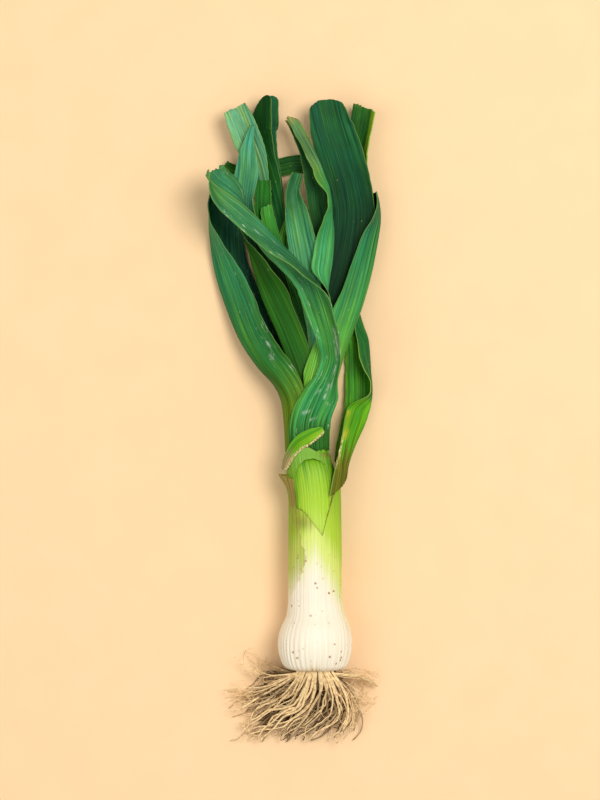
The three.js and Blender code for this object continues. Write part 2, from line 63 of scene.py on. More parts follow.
# Each station is [x, y, z, half width, left, right, bend]. The blade's two halves meet at the midrib.
# left and right are the angles in degrees by which each half lifts towards a viewer above: 0 lies flat,
# 90 stands up, 180 is folded over. bend is the distance from the midrib over which that fold is rounded.
LEAVES = {
    "leaf_left_outer": [
        [-19.2, 124, 20, 21, 180, 0, 22.5],
        [-20.4, 145, 19.8, 22, 180, 0, 22],
        [-22.4, 160, 20, 24, 180, 0, 21.5],
        [-28, 171, 19.6, 26.5, 172, 2, 20],
        [-38, 182, 17, 27, 166, 4, 14],
        [-50, 200, 11.6, 26.5, 160, 4, 9],
        [-60, 224, 6.2, 26, 157, 4, 7],
        [-67, 247, 3.1, 24, 146, 3, 6],
        [-69.5, 268, 4, 22, 118, 3, 5],
        [-69, 285, 5.6, 19, 95, 3, 5],
        [-67.5, 303, 8, 15, 88, 3, 5],
    ],
    "leaf_right_outer": [
        [9.2, 124, 20, 20.5, 0, 180, 22],
        [8.6, 145, 19.4, 22, 0, 180, 20],
        [11, 160, 19.5, 26, 0, 180, 19],
        [14.5, 172, 18.8, 29.6, 0, 178, 17.5],
        [19.5, 190, 17.4, 28, 0, 176, 16.4],
        [25.5, 206, 16.4, 24.5, 0, 174, 13],
        [32, 224, 14.4, 21.5, 0, 168, 10],
        [38, 246, 12.4, 19.5, 0, 160, 8],
        [42, 268, 11, 18, 1, 140, 6],
        [42.9, 281, 10.5, 16, 2, 116, 5],
        [41.6, 291, 10, 12, 3, 102, 5],
        [39.6, 299, 9.6, 6.5, 4, 92, 4],
    ],
    "leaf_front": [
        [-4, 126, 35.9, 15.2, -55, -54, 16],
        [-3.4, 145, 37, 14.5, -38, -34, 14],
        [2.2, 160, 39.8, 12.4, -36, -20, 12],
        [8.2, 172, 41, 11.4, -30, 60, 9],
        [12.8, 186, 42, 10.8, -26, 76, 7],
        [11.5, 200, 43, 12, -22, 80, 7],
        [8, 213, 43, 13, -20, 74, 7],
        [3.6, 227, 42.5, 13.5, -12, 80, 6],
        [-2, 240, 42, 13, -4, 112, 5],
        [-12, 252.5, 41.5, 13, -8, 132, 5],
        [-24, 265, 41.5, 14, -20, 146, 3],
        [-36, 278, 42, 15, -56, 156, 2.4],
        [-48, 289, 43, 15, -104, 152, 2],
        [-59, 296.6, 42.4, 15, -146, 134, 2],
        [-67.6, 303, 40.6, 15, -160, 92, 2],
        [-72.6, 309.4, 39.6, 14, -164, 66, 2],
    ],
    "leaf_right_broad": [
        [-4, 153, 13.4, 7, 2, 2, 6],
        [2.5, 190, 12.9, 7, 2, 2, 8],
        [12, 222, 13.4, 8.5, 4, 2, 8],
        [22, 258, 13.4, 13, 8, 4, 9],
        [25.5, 284, 14.6, 14.5, 2, 8, 10],
        [22.2, 305, 16.4, 15.4, 0, 14, 10],
        [16.6, 325, 18, 15.8, 4, 16, 10],
        [10.8, 343, 20, 14.6, 14, 20, 10],
        [6.4, 361, 21.5, 10.6, 22, 24, 10],
    ],
    "leaf_left_pinched": [
        [-12, 153, 25, 10, 178, 2, 1.6],
        [-14, 172, 24.8, 14, 178, 2, 1.6],
        [-19, 188, 24.7, 17, 176, 2, 2],
        [-25.8, 206, 23, 17.8, 170, 2, 2.6],
        [-34.4, 226, 19.8, 20, 160, 2, 3],
        [-39.5, 243, 18.8, 19.5, 132, 2, 3],
        [-43, 257, 18, 18, 112, 8, 3],
        [-45.5, 268, 18, 15, 92, 24, 3],
        [-47.5, 280, 19, 12, 72, 40, 3],
        [-47.4, 293, 20.6, 8.6, 30, 56, 4],
        [-46.2, 305, 22.2, 8.4, 16, 36, 5],
        [-45.2, 316, 23.6, 7.4, 12, 14, 6],
        [-44.8, 326, 24.6, 5.2, 10, 10, 6],
        [-43.6, 335, 24.8, 2.8, 10, 10, 4],
        [-41.4, 343, 24.4, 1.4, 10, 10, 3],
    ],
    "leaf_inner_left": [
        [-5, 153, 19.5, 7, 2, 2, 6],
        [-6, 190, 19.3, 8, 2, 2, 6],
        [-14, 224, 15.5, 8, 2, 2, 6],
        [-23, 243, 14.6, 8, 2, 2, 6],
        [-29.5, 257, 14.8, 7.5, 4, 4, 6],
        [-34, 274, 17, 6.4, 8, 8, 6],
        [-34.9, 290, 19.8, 5.8, 12, 12, 6],
        [-34.6, 300, 20.8, 5.4, 14, 14, 5],
        [-34.4, 307, 21.6, 4.6, 14, 14, 5],
    ],
    "leaf_inner_left_short": [
        [-5, 153, 20.6, 6.5, 2, 2, 6],
        [-5, 190, 20.4, 7, 2, 2, 6],
        [-11, 224, 16.8, 7, 2, 2, 6],
        [-18.6, 243, 15.9, 6, 2, 2, 6],
        [-26.6, 264, 17.2, 5, 6, 8, 5],
        [-31.4, 281, 21.2, 4.6, 12, 12, 5],
        [-32.6, 290, 22.4, 3.6, 10, 10, 4],
    ],
    "leaf_centre_folded": [
        [-4, 153, 22.8, 6.5, 2, 2, 6],
        [0, 192, 22.7, 4.2, 2, 2, 6],
        [-2.2, 224, 22.8, 6.6, 6, 4, 5],
        [-6, 251, 20.6, 10, 24, 22, 4],
        [-9.8, 270, 19, 10.4, 32, 28, 3],
        [-12.6, 285, 18, 8.8, 38, 32, 3],
        [-14.8, 298, 18, 5.8, 44, 40, 3],
        [-13.4, 306, 18.3, 4.6, 34, 30, 3],
        [-11.6, 312, 18.5, 3.8, 30, 20, 3],
    ],
    "leaf_centre_tall": [
        [-4, 153, 21.7, 5, 2, 2, 4],
        [-2, 190, 21.6, 5.5, 2, 2, 4],
        [2, 214, 21, 6, 2, 8, 4],
        [6.4, 229, 20.6, 9, 4, 76, 4],
        [10, 244, 20, 15.5, 6, 156, 4],
        [11.8, 257, 19, 16, 5, 160, 4],
        [12.4, 272, 18.6, 14.8, 5, 152, 5],
        [10.6, 284, 19.4, 14.6, 8, 120, 5],
        [9.2, 293, 20.6, 14.8, 8, 101, 5],
        [8, 302, 21.8, 15, 8, 110, 5],
        [5.6, 310, 22.6, 14, 8, 125, 4],
        [2.7, 318, 23, 12.4, 8, 130, 4],
        [-2.2, 329, 22.6, 10, 8, 146, 4],
        [-6.4, 339, 21.4, 9.6, 6, 156, 3],
        [-10.2, 345.5, 20, 8.6, 4, 156, 3],
    ],
    "leaf_top_left": [
        [-5, 153, 18.45, 6.5, 2, 2, 6],
        [-7, 190, 18.3, 7, 2, 2, 6],
        [-14, 222, 14.45, 7.5, 2, 2, 6],
        [-25.2, 252, 13.2, 6, 2, 2, 6],
        [-33, 285, 14.4, 5.2, 6, 8, 5],
        [-36.8, 308, 17, 6, 8, 14, 4],
        [-40.6, 323, 18.6, 8.8, 10, 22, 3],
        [-45.6, 336, 19.4, 10, 12, 26, 3],
        [-50, 347, 20, 9.4, 14, 26, 3],
        [-53.6, 355.5, 20, 8.2, 14, 26, 3],
    ],
    "leaf_looped": [
        [-8, 153, 15.45, 7, 178, 2, 1.4],
        [-10, 190, 15.05, 8, 178, 2, 1.4],
        [-17, 222, 10.4, 8, 178, 2, 1.6],
        [-25, 256, 8, 8, 178, 2, 1.8],
        [-29.6, 283, 7, 10.5, 172, 2, 2.6],
        [-34, 304, 6.8, 13.5, 166, 4, 3.4],
        [-38.8, 322, 7, 15.4, 158, 10, 4],
        [-42, 338, 8, 17.4, 150, 10, 4],
        [-42, 345.6, 9, 18.6, 142, 8, 4],
    ],
    "leaf_crosswise": [
        [-4, 153, 9, 4, 2, 2, 4],
        [-4.6, 190, 8.6, 4.6, 2, 2, 4],
        [-4, 204, 8.2, 4.8, 2, 2, 4],
        [1, 226, 6, 5.2, 2, 2, 4],
        [10, 258, 5, 6, 2, 2, 4],
        [14.6, 290, 6, 6.2, 40, -40, 5],
        [7, 311, 7, 6.2, 90, -90, 6],
        [-8, 318.5, 5, 6.2, 160, -160, 6],
        [-26, 316, 2.7, 6.2, 178, -178, 6],
        [-44, 312, 2.6, 6.2, 178, -178, 6],
        [-56, 313, 4, 6, 170, -170, 6],
        [-62, 317, 6, 5, 150, -150, 5],
    ],
    "leaf_heart": [
        [-4, 153, 17.3, 6, 2, 2, 5],
        [-5, 190, 17.1, 6, 2, 2, 5],
        [-10, 224, 13, 5.6, 2, 2, 5],
        [-18, 252, 11.8, 4.6, 2, 2, 4],
        [-21, 266, 11.8, 3.8, 4, 8, 4],
        [-18, 281, 12.4, 2.4, 12, 12, 3],
    ],
    "leaf_inner_right": [
        [-3, 153, 12.3, 6, 2, 2, 5],
        [2, 190, 11.8, 6, 2, 2, 5],
        [10, 222, 12.2, 6, 2, 2, 4],
        [15.4, 250, 12, 5.5, 4, 4, 4],
        [16.8, 268, 12, 4.5, 6, 6, 4],
        [14.5, 290, 12.4, 3.8, 12, 12, 4],
        [11, 303, 12.6, 3, 12, 10, 3],
    ],
    "leaf_inner_right_torn": [
        [-3, 153, 11.2, 5, 2, 2, 4],
        [3, 190, 10.7, 5.5, 2, 2, 4],
        [12, 222, 11, 5.6, 2, 2, 4],
        [19.6, 246, 10.8, 5.6, 2, 2, 4],
        [22, 262, 10.9, 4.4, 4, 4, 4],
        [21, 277, 11, 2.2, 6, 6, 3],
    ],
    "leaf_top_right": [
        [-3, 153, 10.1, 5, 2, 2, 4],
        [4, 190, 9.6, 6, 2, 2, 4],
        [14, 222, 9.8, 7, 2, 2, 4],
        [22, 258, 9.5, 9, 2, 2, 4],
        [25.4, 290, 10.4, 8.6, 2, 6, 3],
        [27.4, 308, 10, 9.4, 2, 36, 3],
        [30.4, 324, 9.6, 11, 4, 70, 3],
        [34, 340, 11, 11.6, 4, 76, 3],
        [36.8, 355.5, 13, 11.6, 4, 76, 3],
    ],
    "leaf_low_right": [
        [21, 109, 21.5, 18, -28, 152, 18],
        [22.6, 118, 20, 16.5, -24, 152, 15],
        [27, 130, 16, 16, -12, 156, 9],
        [32.6, 142, 11.4, 17.4, 0, 164, 6],
        [35.2, 149, 9, 17.4, 3, 156, 4],
        [36.4, 155, 7, 17, 4, 128, 4],
        [36.8, 161, 5.6, 17, 4, 100, 4],
        [36.9, 169, 4.2, 16.8, 4, 98, 4],
        [36.6, 179, 3.2, 16.6, 3, 112, 4],
        [36.2, 189, 2.74, 16.4, 3, 124, 4],
        [35.4, 200, 2.9, 14, 4, 136, 4],
        [32.4, 210, 3.8, 9, 4, 146, 3],
        [30, 218, 4, 5, 4, 146, 2],
    ],
    "sheath_stub": [
        [-20.8, 113, 29.2, 2.2, -20, -20, 3],
        [-17.2, 122, 34.9, 3.2, -20, -16, 4],
        [-11.4, 130.4, 38.4, 4.6, -18, -8, 5],
        [-4, 135.4, 39.6, 5, -14, -4, 5],
        [2.6, 138.8, 39, 3.6, -10, -4, 4],
        [5.6, 140.8, 38, 1.4, -8, -4, 3],
    ],
}
# Shape of a blade's first and last edge, in mm: skew slants it, tail is how far its margins run on past
# the midrib, and round is how far they are rounded back.
LEAF_STARTS = {
    "leaf_low_right": {"skew": 14, "tail": 3},
}
LEAF_ENDS = {
    "leaf_left_outer": {"skew": 10},
    "leaf_right_broad": {"skew": -1.5, "round": 8.5},
    "leaf_inner_left": {"skew": 1.2, "round": 1.4},
    "leaf_inner_left_short": {"skew": 2, "round": 1.5},
    "leaf_centre_folded": {"round": 2.4},
    "leaf_centre_tall": {"tail": 7},
    "leaf_top_left": {"skew": 0.6},
    "leaf_looped": {"skew": -0.6, "tail": 24, "round": 9},
    "leaf_heart": {"round": 3},
    "leaf_inner_right": {"round": 3},
    "leaf_inner_right_torn": {"round": 2},
    "leaf_top_right": {"skew": -2},
}

# Finish of each leaf. inside is the face that lies in the leaf's own fold and outside the other one, each
# with its linear colour low and high on the blade, or with one for all of it.
# right_half is the right half's own colour. base is the colour at the very bottom, up to the share base_end
# of the length.
# pleat and ruffle are heights in mm. ragged is how far the end is torn, and dry how brown it has gone.
# scars, rim and crease say how strong the pale scars, the pale margins and a pale midrib are.
# worn_margin is [side, from, to]: a dry, torn margin on that side between those shares of the length.
# sallow is [from, to]: the shares of the length between which the right margin has yellowed.
# turn is the shares of the length between which the low colour becomes the high one.
# dusk is [from, to, strength]: painted shade, darker and bluer, between those shares of the length.
# marks are pale scratches seen from above, each [x, y, x, y, width].
# The darkest face colours below, on deep-lying leaves in the shade of others, are partly painted shade.
LEAF_LOOKS = {
    "leaf_left_outer": {
        "inside": [(0.010, 0.055, 0.020), (0.024, 0.125, 0.060)],
        "outside": [(0.038, 0.145, 0.020), (0.050, 0.240, 0.092)],
        "base": (0.085, 0.170, 0.006), "base_end": 0.36, "ruffle": 0.25, "scars": 0.6,
        "painted_shade": [0.45, 0.80, 0.15],
        "marks": [[-32, 199, -28, 189, 0.35], [-30, 190, -26, 182, 0.3], [-35, 206, -33, 201, 0.3]],
    },
    "leaf_right_outer": {
        "inside": (0.010, 0.050, 0.012),
        "outside": [(0.092, 0.360, 0.074), (0.042, 0.180, 0.064)],
        "base": (0.190, 0.480, 0.034), "base_end": 0.50, "ruffle": 0.2, "painted_shade": [0.62, 1.1, 0.45],
    },
    "leaf_front": {
        "inside": [(0.066, 0.275, 0.066), (0.088, 0.270, 0.094)],
        "outside": [(0.026, 0.100, 0.024), (0.066, 0.215, 0.078)],
        "base": (0.022, 0.120, 0.014), "base_end": 0.10, "pleat": 0.11, "ruffle": 0.4, "ragged": 1.4,
        "dry": 0.35, "scars": 1.0, "crease": 0.35, "painted_shade": [0.40, 0.62, 0.30],
        "marks": [
            [12.5, 208, 16.2, 191, 0.8], [14, 183, 10.5, 168, 0.5], [9.5, 170, 6, 161, 0.6],
            [3, 166, 1, 163.5, 0.8], [-8, 151, -4, 153, 0.7], [-3, 147, 1, 148.5, 0.5],
            [13, 199, 15, 186, 0.5],
        ],
    },
    "leaf_right_broad": {
        "inside": [(0.006, 0.036, 0.012), (0.015, 0.090, 0.030)],
        "outside": (0.010, 0.060, 0.012),
        "pleat": 0.50, "ruffle": 0.4, "ragged": 0.3, "dry": 0.1,
    },
    "leaf_left_pinched": {
        "inside": [(0.006, 0.034, 0.006), (0.084, 0.290, 0.150)],
        "outside": [(0.026, 0.110, 0.008), (0.012, 0.058, 0.008)],
        "base": (0.030, 0.130, 0.012), "base_end": 0.16, "pleat": 0.16, "ruffle": 0.3,
    },
    "leaf_inner_left": {
        "inside": [(0.014, 0.090, 0.008), (0.022, 0.140, 0.012)],
        "outside": (0.030, 0.160, 0.030),
        "ruffle": 0.2, "ragged": 0.9, "dry": 0.2,
    },
    "leaf_inner_left_short": {
        "inside": [(0.042, 0.190, 0.024), (0.070, 0.280, 0.034)],
        "ruffle": 0.2, "ragged": 0.9, "dry": 0.3,
    },
    "leaf_centre_folded": {
        "inside": [(0.120, 0.345, 0.145), (0.048, 0.165, 0.055)],
        "outside": (0.030, 0.140, 0.035),
        "ruffle": 0.2, "ragged": 0.4, "dry": 0.2,
    },
    "leaf_centre_tall": {
        "inside": [(0.014, 0.068, 0.014), (0.022, 0.080, 0.016)],
        "outside": [(0.090, 0.340, 0.100), (0.145, 0.225, 0.078)], "turn": (0.62, 0.86),
        "ruffle": 0.35, "ragged": 0.4, "dry": 0.5,
    },
    "leaf_top_left": {
        "inside": [(0.066, 0.215, 0.074), (0.215, 0.395, 0.185)],
        "outside": (0.040, 0.190, 0.050),
        "pleat": 0.20, "ruffle": 0.2, "ragged": 0.8, "dry": 0.6,
    },
    "leaf_looped": {
        "inside": [(0.012, 0.080, 0.024), (0.026, 0.130, 0.048)],
        "outside": [(0.026, 0.170, 0.036), (0.009, 0.060, 0.009)],
        "pleat": 0.16, "ruffle": 0.3,
    },
    "leaf_crosswise": {
        "inside": [(0.008, 0.050, 0.028), (0.030, 0.110, 0.010)],
        "outside": [(0.008, 0.058, 0.036), (0.030, 0.110, 0.010)],
        "ruffle": 0.2, "ragged": 0.6, "dry": 0.3,
    },
    "leaf_heart": {
        "inside": [(0.090, 0.340, 0.040), (0.140, 0.440, 0.055)],
    },
    "leaf_inner_right": {
        "inside": [(0.014, 0.076, 0.014), (0.022, 0.100, 0.018)],
        "outside": (0.014, 0.080, 0.014),
        "ragged": 0.6, "dry": 0.8,
    },
    "leaf_inner_right_torn": {
        "inside": [(0.012, 0.060, 0.010), (0.030, 0.080, 0.012)],
        "outside": (0.014, 0.080, 0.014),
        "ragged": 1.2, "dry": 1.0,
    },
    "leaf_top_right": {
        "inside": [(0.012, 0.065, 0.008), (0.032, 0.125, 0.014)],
        "outside": (0.040, 0.150, 0.014),
        "right_half": (0.210, 0.400, 0.022), "ruffle": 0.2, "ragged": 0.4, "dry": 0.3,
    },
    "leaf_low_right": {
        "inside": [(0.130, 0.330, 0.012), (0.090, 0.300, 0.018)],
        "outside": [(0.150, 0.380, 0.014), (0.028, 0.150, 0.028)],
        "turn": (0.43, 0.52), "base": (0.130, 0.145, 0.011), "base_end": 0.17, "pleat": 0.24, "ruffle": 0.4,
        "rim": 1.0, "worn_margin": [1, 0.02, 0.20], "sallow": [0.13, 0.33],
    },
    "sheath_stub": {
        "inside": [(0.150, 0.330, 0.012), (0.200, 0.400, 0.014)],
        "outside": [(0.150, 0.330, 0.012), (0.200, 0.400, 0.014)],
        "base": (0.420, 0.300, 0.130), "base_end": 0.34, "ragged": 1.2, "dry": 0.8,
        "worn_margin": [1, -0.2, 1.2],
    },
}
PLAIN_LOOK = {
    "outside": (0.040, 0.190, 0.040), "turn": (0.30, 0.85), "base_end": 0.2, "pleat": 0.12, "ruffle": 0.2,
    "ragged": 0.0, "rim": 0.45, "right_half": None, "base": None, "scars": None, "painted_shade": None,
    "marks": None, "sallow": None, "crease": None, "worn_margin": None, "dry": None,
}

# The shaft: rows of [y, centre x, centre z, radius] from the base plate upwards.
OUTER_SHEATH = [
    [-20.6, 0, 24.2, 9],
    [-20, 0, 24.2, 14.5],
    [-18, 0.2, 24.2, 19.8],
    [-14, 0, 24.2, 22.3],
    [-8, 0, 24.2, 24.1],
    [-1.6, 0, 24.2, 24.7],
    [4, 0.1, 24.1, 24.2],
    [10, 0.4, 23.9, 22.6],
    [16, 0.7, 23.5, 20],
    [23, 0.3, 23.1, 18.5],
    [32, 0, 22.8, 18],
    [60, 0, 22.3, 17.9],
    [88, -0.1, 22, 17.6],
    [98, -0.6, 22, 17.9],
    [107.5, -1.6, 22, 18.6],
]
COLLAR = [
    [84, -0.1, 22, 16.6],
    [98, -0.8, 22, 16.6],
    [108, -2.4, 21.8, 16.4],
    [116, -4, 21.4, 15.9],
    [120.5, -4.8, 21.2, 15.5],
    [123, -5, 21, 15.7],
    [126, -5, 21, 16.1],
    [130, -5, 21, 16.4],
]
INNER_SHEATH = [
    [60, 0, 22.2, 16.7],
    [74, 0, 22.1, 16.7],
    [84, 0, 22, 16.2],
    [98, -0.7, 22, 16.1],
    [108, -1.9, 21.8, 16.2],
    [114.5, -3.1, 21.4, 16.0],
    [119, -4.1, 21.0, 15.0],
    [121.6, -4.6, 20.6, 13.6],
    [124, -5, 20.2, 12.2],
    [126, -5, 20, 11.9],
    [150, -5, 19, 11],
]
# Height of the outer sheath's torn margin over the shaft's front, as [x, y].
TORN_MARGIN = [
    [-30, 107.5], [-15, 107.5], [-14.6, 103], [-13.4, 95], [-13, 88], [-10, 87.5], [-6, 84], [-2, 79],
    [2, 74], [5, 70], [7, 78], [10, 88], [12, 95], [14, 100], [17, 103.5], [20, 107], [30, 107.5],
]
# Lower edge of the collar over the shaft's front, which the inner sheath swells out from, as [x, y].
COLLAR_EDGE = [
    [-30, 88], [-14.8, 88], [-14.4, 103], [-14, 110], [-11.5, 116], [-7, 120.4], [-1, 121.4],
    [4, 119.6], [8.5, 115], [11.2, 109], [12, 103], [12.6, 88], [30, 88],
]
# The collar's upper rim, which wraps the leaf bases, as [x, y].
COLLAR_RIM = [
    [-30, 122.6], [-20, 124], [-12, 128.5], [-4, 128.6], [0, 126.4], [4, 124.8], [9, 124], [30, 122.6],
]
# Edge of the old skin that has come loose down the shaft's front left, as [y, x].
OLD_SKIN_EDGE = [
    [20, -24], [32, -15], [40, -11], [47, -9], [55, -6], [63, -9], [70, -10], [82, -13], [108, -14],
]
STAIN = [-8.5, 78.5, 4.5]  # x and y of the dark stain beside the notch, and its size
SHELL_SIDES = 300
SHELL_STEPS = 150
RIDGE_WAVES = 12
STRIP_TURN = 2.9  # the direction, round the shaft, in which the dried left strip curls out
RIM = 0.7  # visible thickness of a sheath's margin
RIM_REACH = 4.0  # how far the turned-in margin goes on, out of sight, under the sheath inside it

# The roots, as rows of [x, y] from the base plate outwards, seen from above.
ROOT_PATHS = [
    [[-9, -22], [-22, -27], [-28, -29], [-33, -33], [-38, -39]],
    [[-8, -23], [-18, -30], [-28, -36], [-36, -38], [-45, -43], [-51, -48]],
    [[-7, -23], [-16, -33], [-24, -38], [-32, -43], [-42, -52]],
    [[-5, -23], [-10, -32], [-15, -40], [-24, -45], [-34, -52], [-44, -60], [-48, -64]],
    [[-3, -23], [-8, -33], [-14, -43], [-22, -46], [-30, -49], [-38, -57], [-49, -59]],
    [[-2, -23], [-5, -34], [-10, -44], [-20, -50], [-27, -58], [-34, -64], [-38, -70]],
    [[0, -23], [1, -30], [-1, -40], [-6, -47], [-16, -54], [-24, -58], [-40, -60]],
    [[2, -23], [4, -34], [0, -42], [-4, -50], [-10, -56], [-18, -63], [-22, -71]],
    [[4, -23], [8, -34], [9, -42], [8, -52], [2, -58], [-6, -64], [-14, -70]],
    [[6, -23], [11, -33], [15, -40], [17, -47], [14, -55], [8, -62], [-2, -68]],
    [[8, -23], [16, -31], [20, -40], [22, -50], [20, -58], [16, -65], [12, -69]],
    [[9, -22], [20, -34], [25, -42], [30, -47], [35, -47], [40, -42]],
    [[9, -22], [24, -24], [32, -26], [40, -30], [46, -34]],
    [[-9, -22], [-24, -22.5], [-33, -21.5], [-40, -20], [-52, -14]],
    [[-8, -23], [-26, -31], [-40, -36.5], [-50, -38], [-65, -38]],
]
STRAY_PATHS = 4  # the last paths are sparse, loose roots at the sides
# Layers of roots: each is [share of the plate's height that they start at, height at the tip,
# roots per path, scatter, shade].
# The lower layers' low shade is partly soil on them and partly painted shade inside the tuft.
ROOT_LAYERS = [
    [1.0, 11, 3, 4.0, 1.0],
    [0.85, 7, 3, 6.0, 0.52],
    [0.35, 3, 4, 8.0, 0.16],
    [-0.30, 1.6, 4, 9.0, 0.05],
]
ROOT_THICKNESS = [0.9, 2.1]
ROOT_REACH = [0.62, 1.03]  # share of its path that a root follows
ROOT_TURN = 7  # spread of the roots' turns away from their paths, in degrees
SHADE_SPREAD = 0.15
STRAY_COPIES = 2  # most roots that a stray path has in a layer
STRAY_THICKNESS = 0.6
ROOT_SIDES = 7
ROOT_STEPS = 26
HAIR_COUNT = 300
HAIR_RADIUS = [0.22, 0.12]
HAIR_LENGTH = [6, 20]
# Painted shade, with some real brown: the roots are darker next to the plate, under the bulb's edge.
ROOT_DARK_SHARE = 0.16  # share of a root's length, next to the plate, that is darker
ROOT_SIDES_LIT_PALER = 0.45  # painted light: how much paler the thin, lit sides are than the tuft's middle
TUFT_MIDDLE = -8  # x of the middle of the tuft's dense part, and half its width, in mm
TUFT_DENSE = 24
STRAY_SHADE = 0.55
HAIR_SHADE = 0.6
ROOT_MARGIN = 0.6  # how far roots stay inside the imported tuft's box, in mm
FLOOR_CLEARANCE = 0.35
PLATE_RADIUS = 15
PLATE_HEIGHT = 24
PLATE_ROWS = [(-20.4, 13.6), (-21.8, 13.4), (-23.4, 11.5), (-24.2, 8.0), (-24.6, 3.0)]  # y and radius
PLATE_SIDES = 60
PLATE_SHADE = 0.1
STOUT_ROOT = [
    [9, -24.4, 24], [16, -24.6, 22], [23, -23.6, 18.5], [30, -25, 14], [37, -29, 9], [42, -32.6, 5],
]
STOUT_RADIUS = 1.9
STOUT_SHADE = 0.35

# Colours, all linear
BLUER = (0.50, 0.88, 1.35)
YELLOWER = (1.90, 1.28, 0.50)
SHADED = (0.45, 0.50, 0.45)
# Painted shade: leaves are multiplied by this tint where they are painted darker and bluer
PAINTED_SHADE_TINT = (0.42, 0.55, 0.80)
LIGHT_VEIN = (2.3, 1.75, 2.0)
DARK_VEIN = (0.28, 0.40, 0.34)
IVORY = (0.89, 0.82, 0.66)
# Colours along each sheath, as [y, colour].
OUTER_COLOURS = [
    [-21, (0.46, 0.29, 0.11)], [-17.5, (0.80, 0.68, 0.45)], [-12, IVORY], [44, IVORY],
    [72, (0.66, 0.76, 0.17)], [92, (0.40, 0.60, 0.028)], [124, (0.25, 0.46, 0.012)],
]
INNER_COLOURS = [
    [60, (0.56, 0.72, 0.20)], [80, (0.46, 0.66, 0.060)], [94, (0.37, 0.60, 0.022)],
    [108, (0.30, 0.54, 0.014)], [118, (0.19, 0.42, 0.008)], [128, (0.08, 0.25, 0.006)],
]
COLLAR_COLOURS = [[84, (0.14, 0.28, 0.010)], [112, (0.17, 0.38, 0.018)], [128, (0.19, 0.42, 0.040)]]

# The photo's view and light. Places and sizes of lights are in metres, and their power is in watts.
SHOWN_HEIGHT = 533.3  # mm of the scene from the picture's top to its bottom
VIEW_MIDDLE = [-10, 160, 25]
LIGHTS = {
    "key": {"place": (0.55, 0.5, 1.6), "size": 0.8, "power": 19.5},
    "fill": {"place": (-0.9, 0.0, 1.5), "size": 1.4, "power": 6.5},
}
LIGHT_COLOUR = (1.0, 0.99, 0.97)
LIGHT_TARGET = (0, 0.15, 0)
SKY_COLOUR = (1.0, 0.985, 0.95, 1)
SKY_STRENGTH = 0.50


def spline_at(points, t):
    """Points of a Catmull-Rom spline through the rows of points, at each t from 0 to 1."""
    points = np.asarray(points, float)
    first = 2 * points[0] - points[1]
    last = 2 * points[-1] - points[-2]
    padded = np.vstack([first, points, last])
    place = np.clip(np.asarray(t, float), 0, 1) * (len(points) - 1)
    low = np.minimum(place.astype(int), len(points) - 2)
    w = (place - low)[:, None]
    p0, p1, p2, p3 = (padded[low + k] for k in range(4))
    v0 = 0.5 * (p2 - p0)
    v1 = 0.5 * (p3 - p1)
    return (2 * p1 - 2 * p2 + v0 + v1) * w**3 + (-3 * p1 + 3 * p2 - 2 * v0 - v1) * w**2 + v0 * w + p1


def unit(vectors):
    return vectors / np.linalg.norm(vectors, axis=-1, keepdims=True)


def rising(value, start, width):
    """From 0 at start to 1 at a width further on."""
    return np.clip((value - start) / width, 0, 1)


def falling(value, end, width):
    """From 1 at a width before the end to 0 at the end."""
    return np.clip((end - value) / width, 0, 1)


def read_off(outline, x):
    """The second value of an outline's [x, value] rows at each x."""
    return np.interp(x, [row[0] for row in outline], [row[1] for row in outline])


def waviness(seed, x, lowest, highest, terms=7):
    """A smooth wandering value of about -1 to 1, made of sine waves of those frequencies."""
    chance = random.Random(seed)
    total = np.zeros_like(np.asarray(x, float))
    for _ in range(terms):
        frequency = chance.uniform(lowest, highest)
        total += math.sqrt(2 / terms) * np.sin(frequency * x + chance.uniform(0, math.tau))
    return total * 0.7


def add_mesh(name, points, faces, uv=None, attributes=None, smooth=True):
    mesh = bpy.data.meshes.new(name)
    mesh.from_pydata((np.asarray(points) * MM).tolist(), [], faces)
    if uv is not None:
        layer = mesh.uv_layers.new(name="blade")
        corner = np.empty(len(mesh.loops), dtype=np.int32)
        mesh.loops.foreach_get("vertex_index", corner)
        layer.data.foreach_set("uv", np.asarray(uv)[corner].astype(np.float32).ravel())
    for key, values in (attributes or {}).items():
        attribute = mesh.attributes.new(key, "FLOAT", "POINT")
        attribute.data.foreach_set("value", np.asarray(values, np.float32).ravel())
    mesh.polygons.foreach_set("use_smooth", [smooth] * len(mesh.polygons))
    mesh.update()
    obj = bpy.data.objects.new(name, mesh)
    bpy.context.scene.collection.objects.link(obj)
    return obj


def settle(piece, node, material):
    """The piece takes the node's place, rides on the body, and gets its finish."""
    piece.data.materials.append(material)
    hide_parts(node)
    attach(piece, "root")


def ring_faces(first, rings, sides, flipped=False):
    """Faces that join rings of points, with a cap on the first ring and the last."""
    faces = []
    for i in range(rings - 1):
        for j in range(sides):
            a = first + i * sides + j
            b = first + i * sides + (j + 1) % sides
            faces.append((a, a + sides, b + sides, b) if flipped else (a, b, b + sides, a + sides))
    first_cap = [first + j for j in range(sides)]
    last_cap = [first + (rings - 1) * sides + j for j in range(sides)]
    return faces + ([first_cap, last_cap[::-1]] if flipped else [first_cap[::-1], last_cap])


def blade_reach(shape, v, seed, ragged):
    """How far past its end station the blade runs, in mm, at v from -1 to 1 across it."""
    reach = shape.get("skew", 0) * v
    reach = reach + shape.get("tail", 0) * np.sin(math.pi / 2 * np.abs(v))
    reach = reach - shape.get("round", 0) * (1 - np.sqrt(1 - v * v * ELLIPSE_SHARE))
    notches = 0.5 * waviness(seed, v, 4, 12) + 0.5 * waviness(seed + 0.5, v, 14, 40)
    return reach + ragged * (notches - 1)


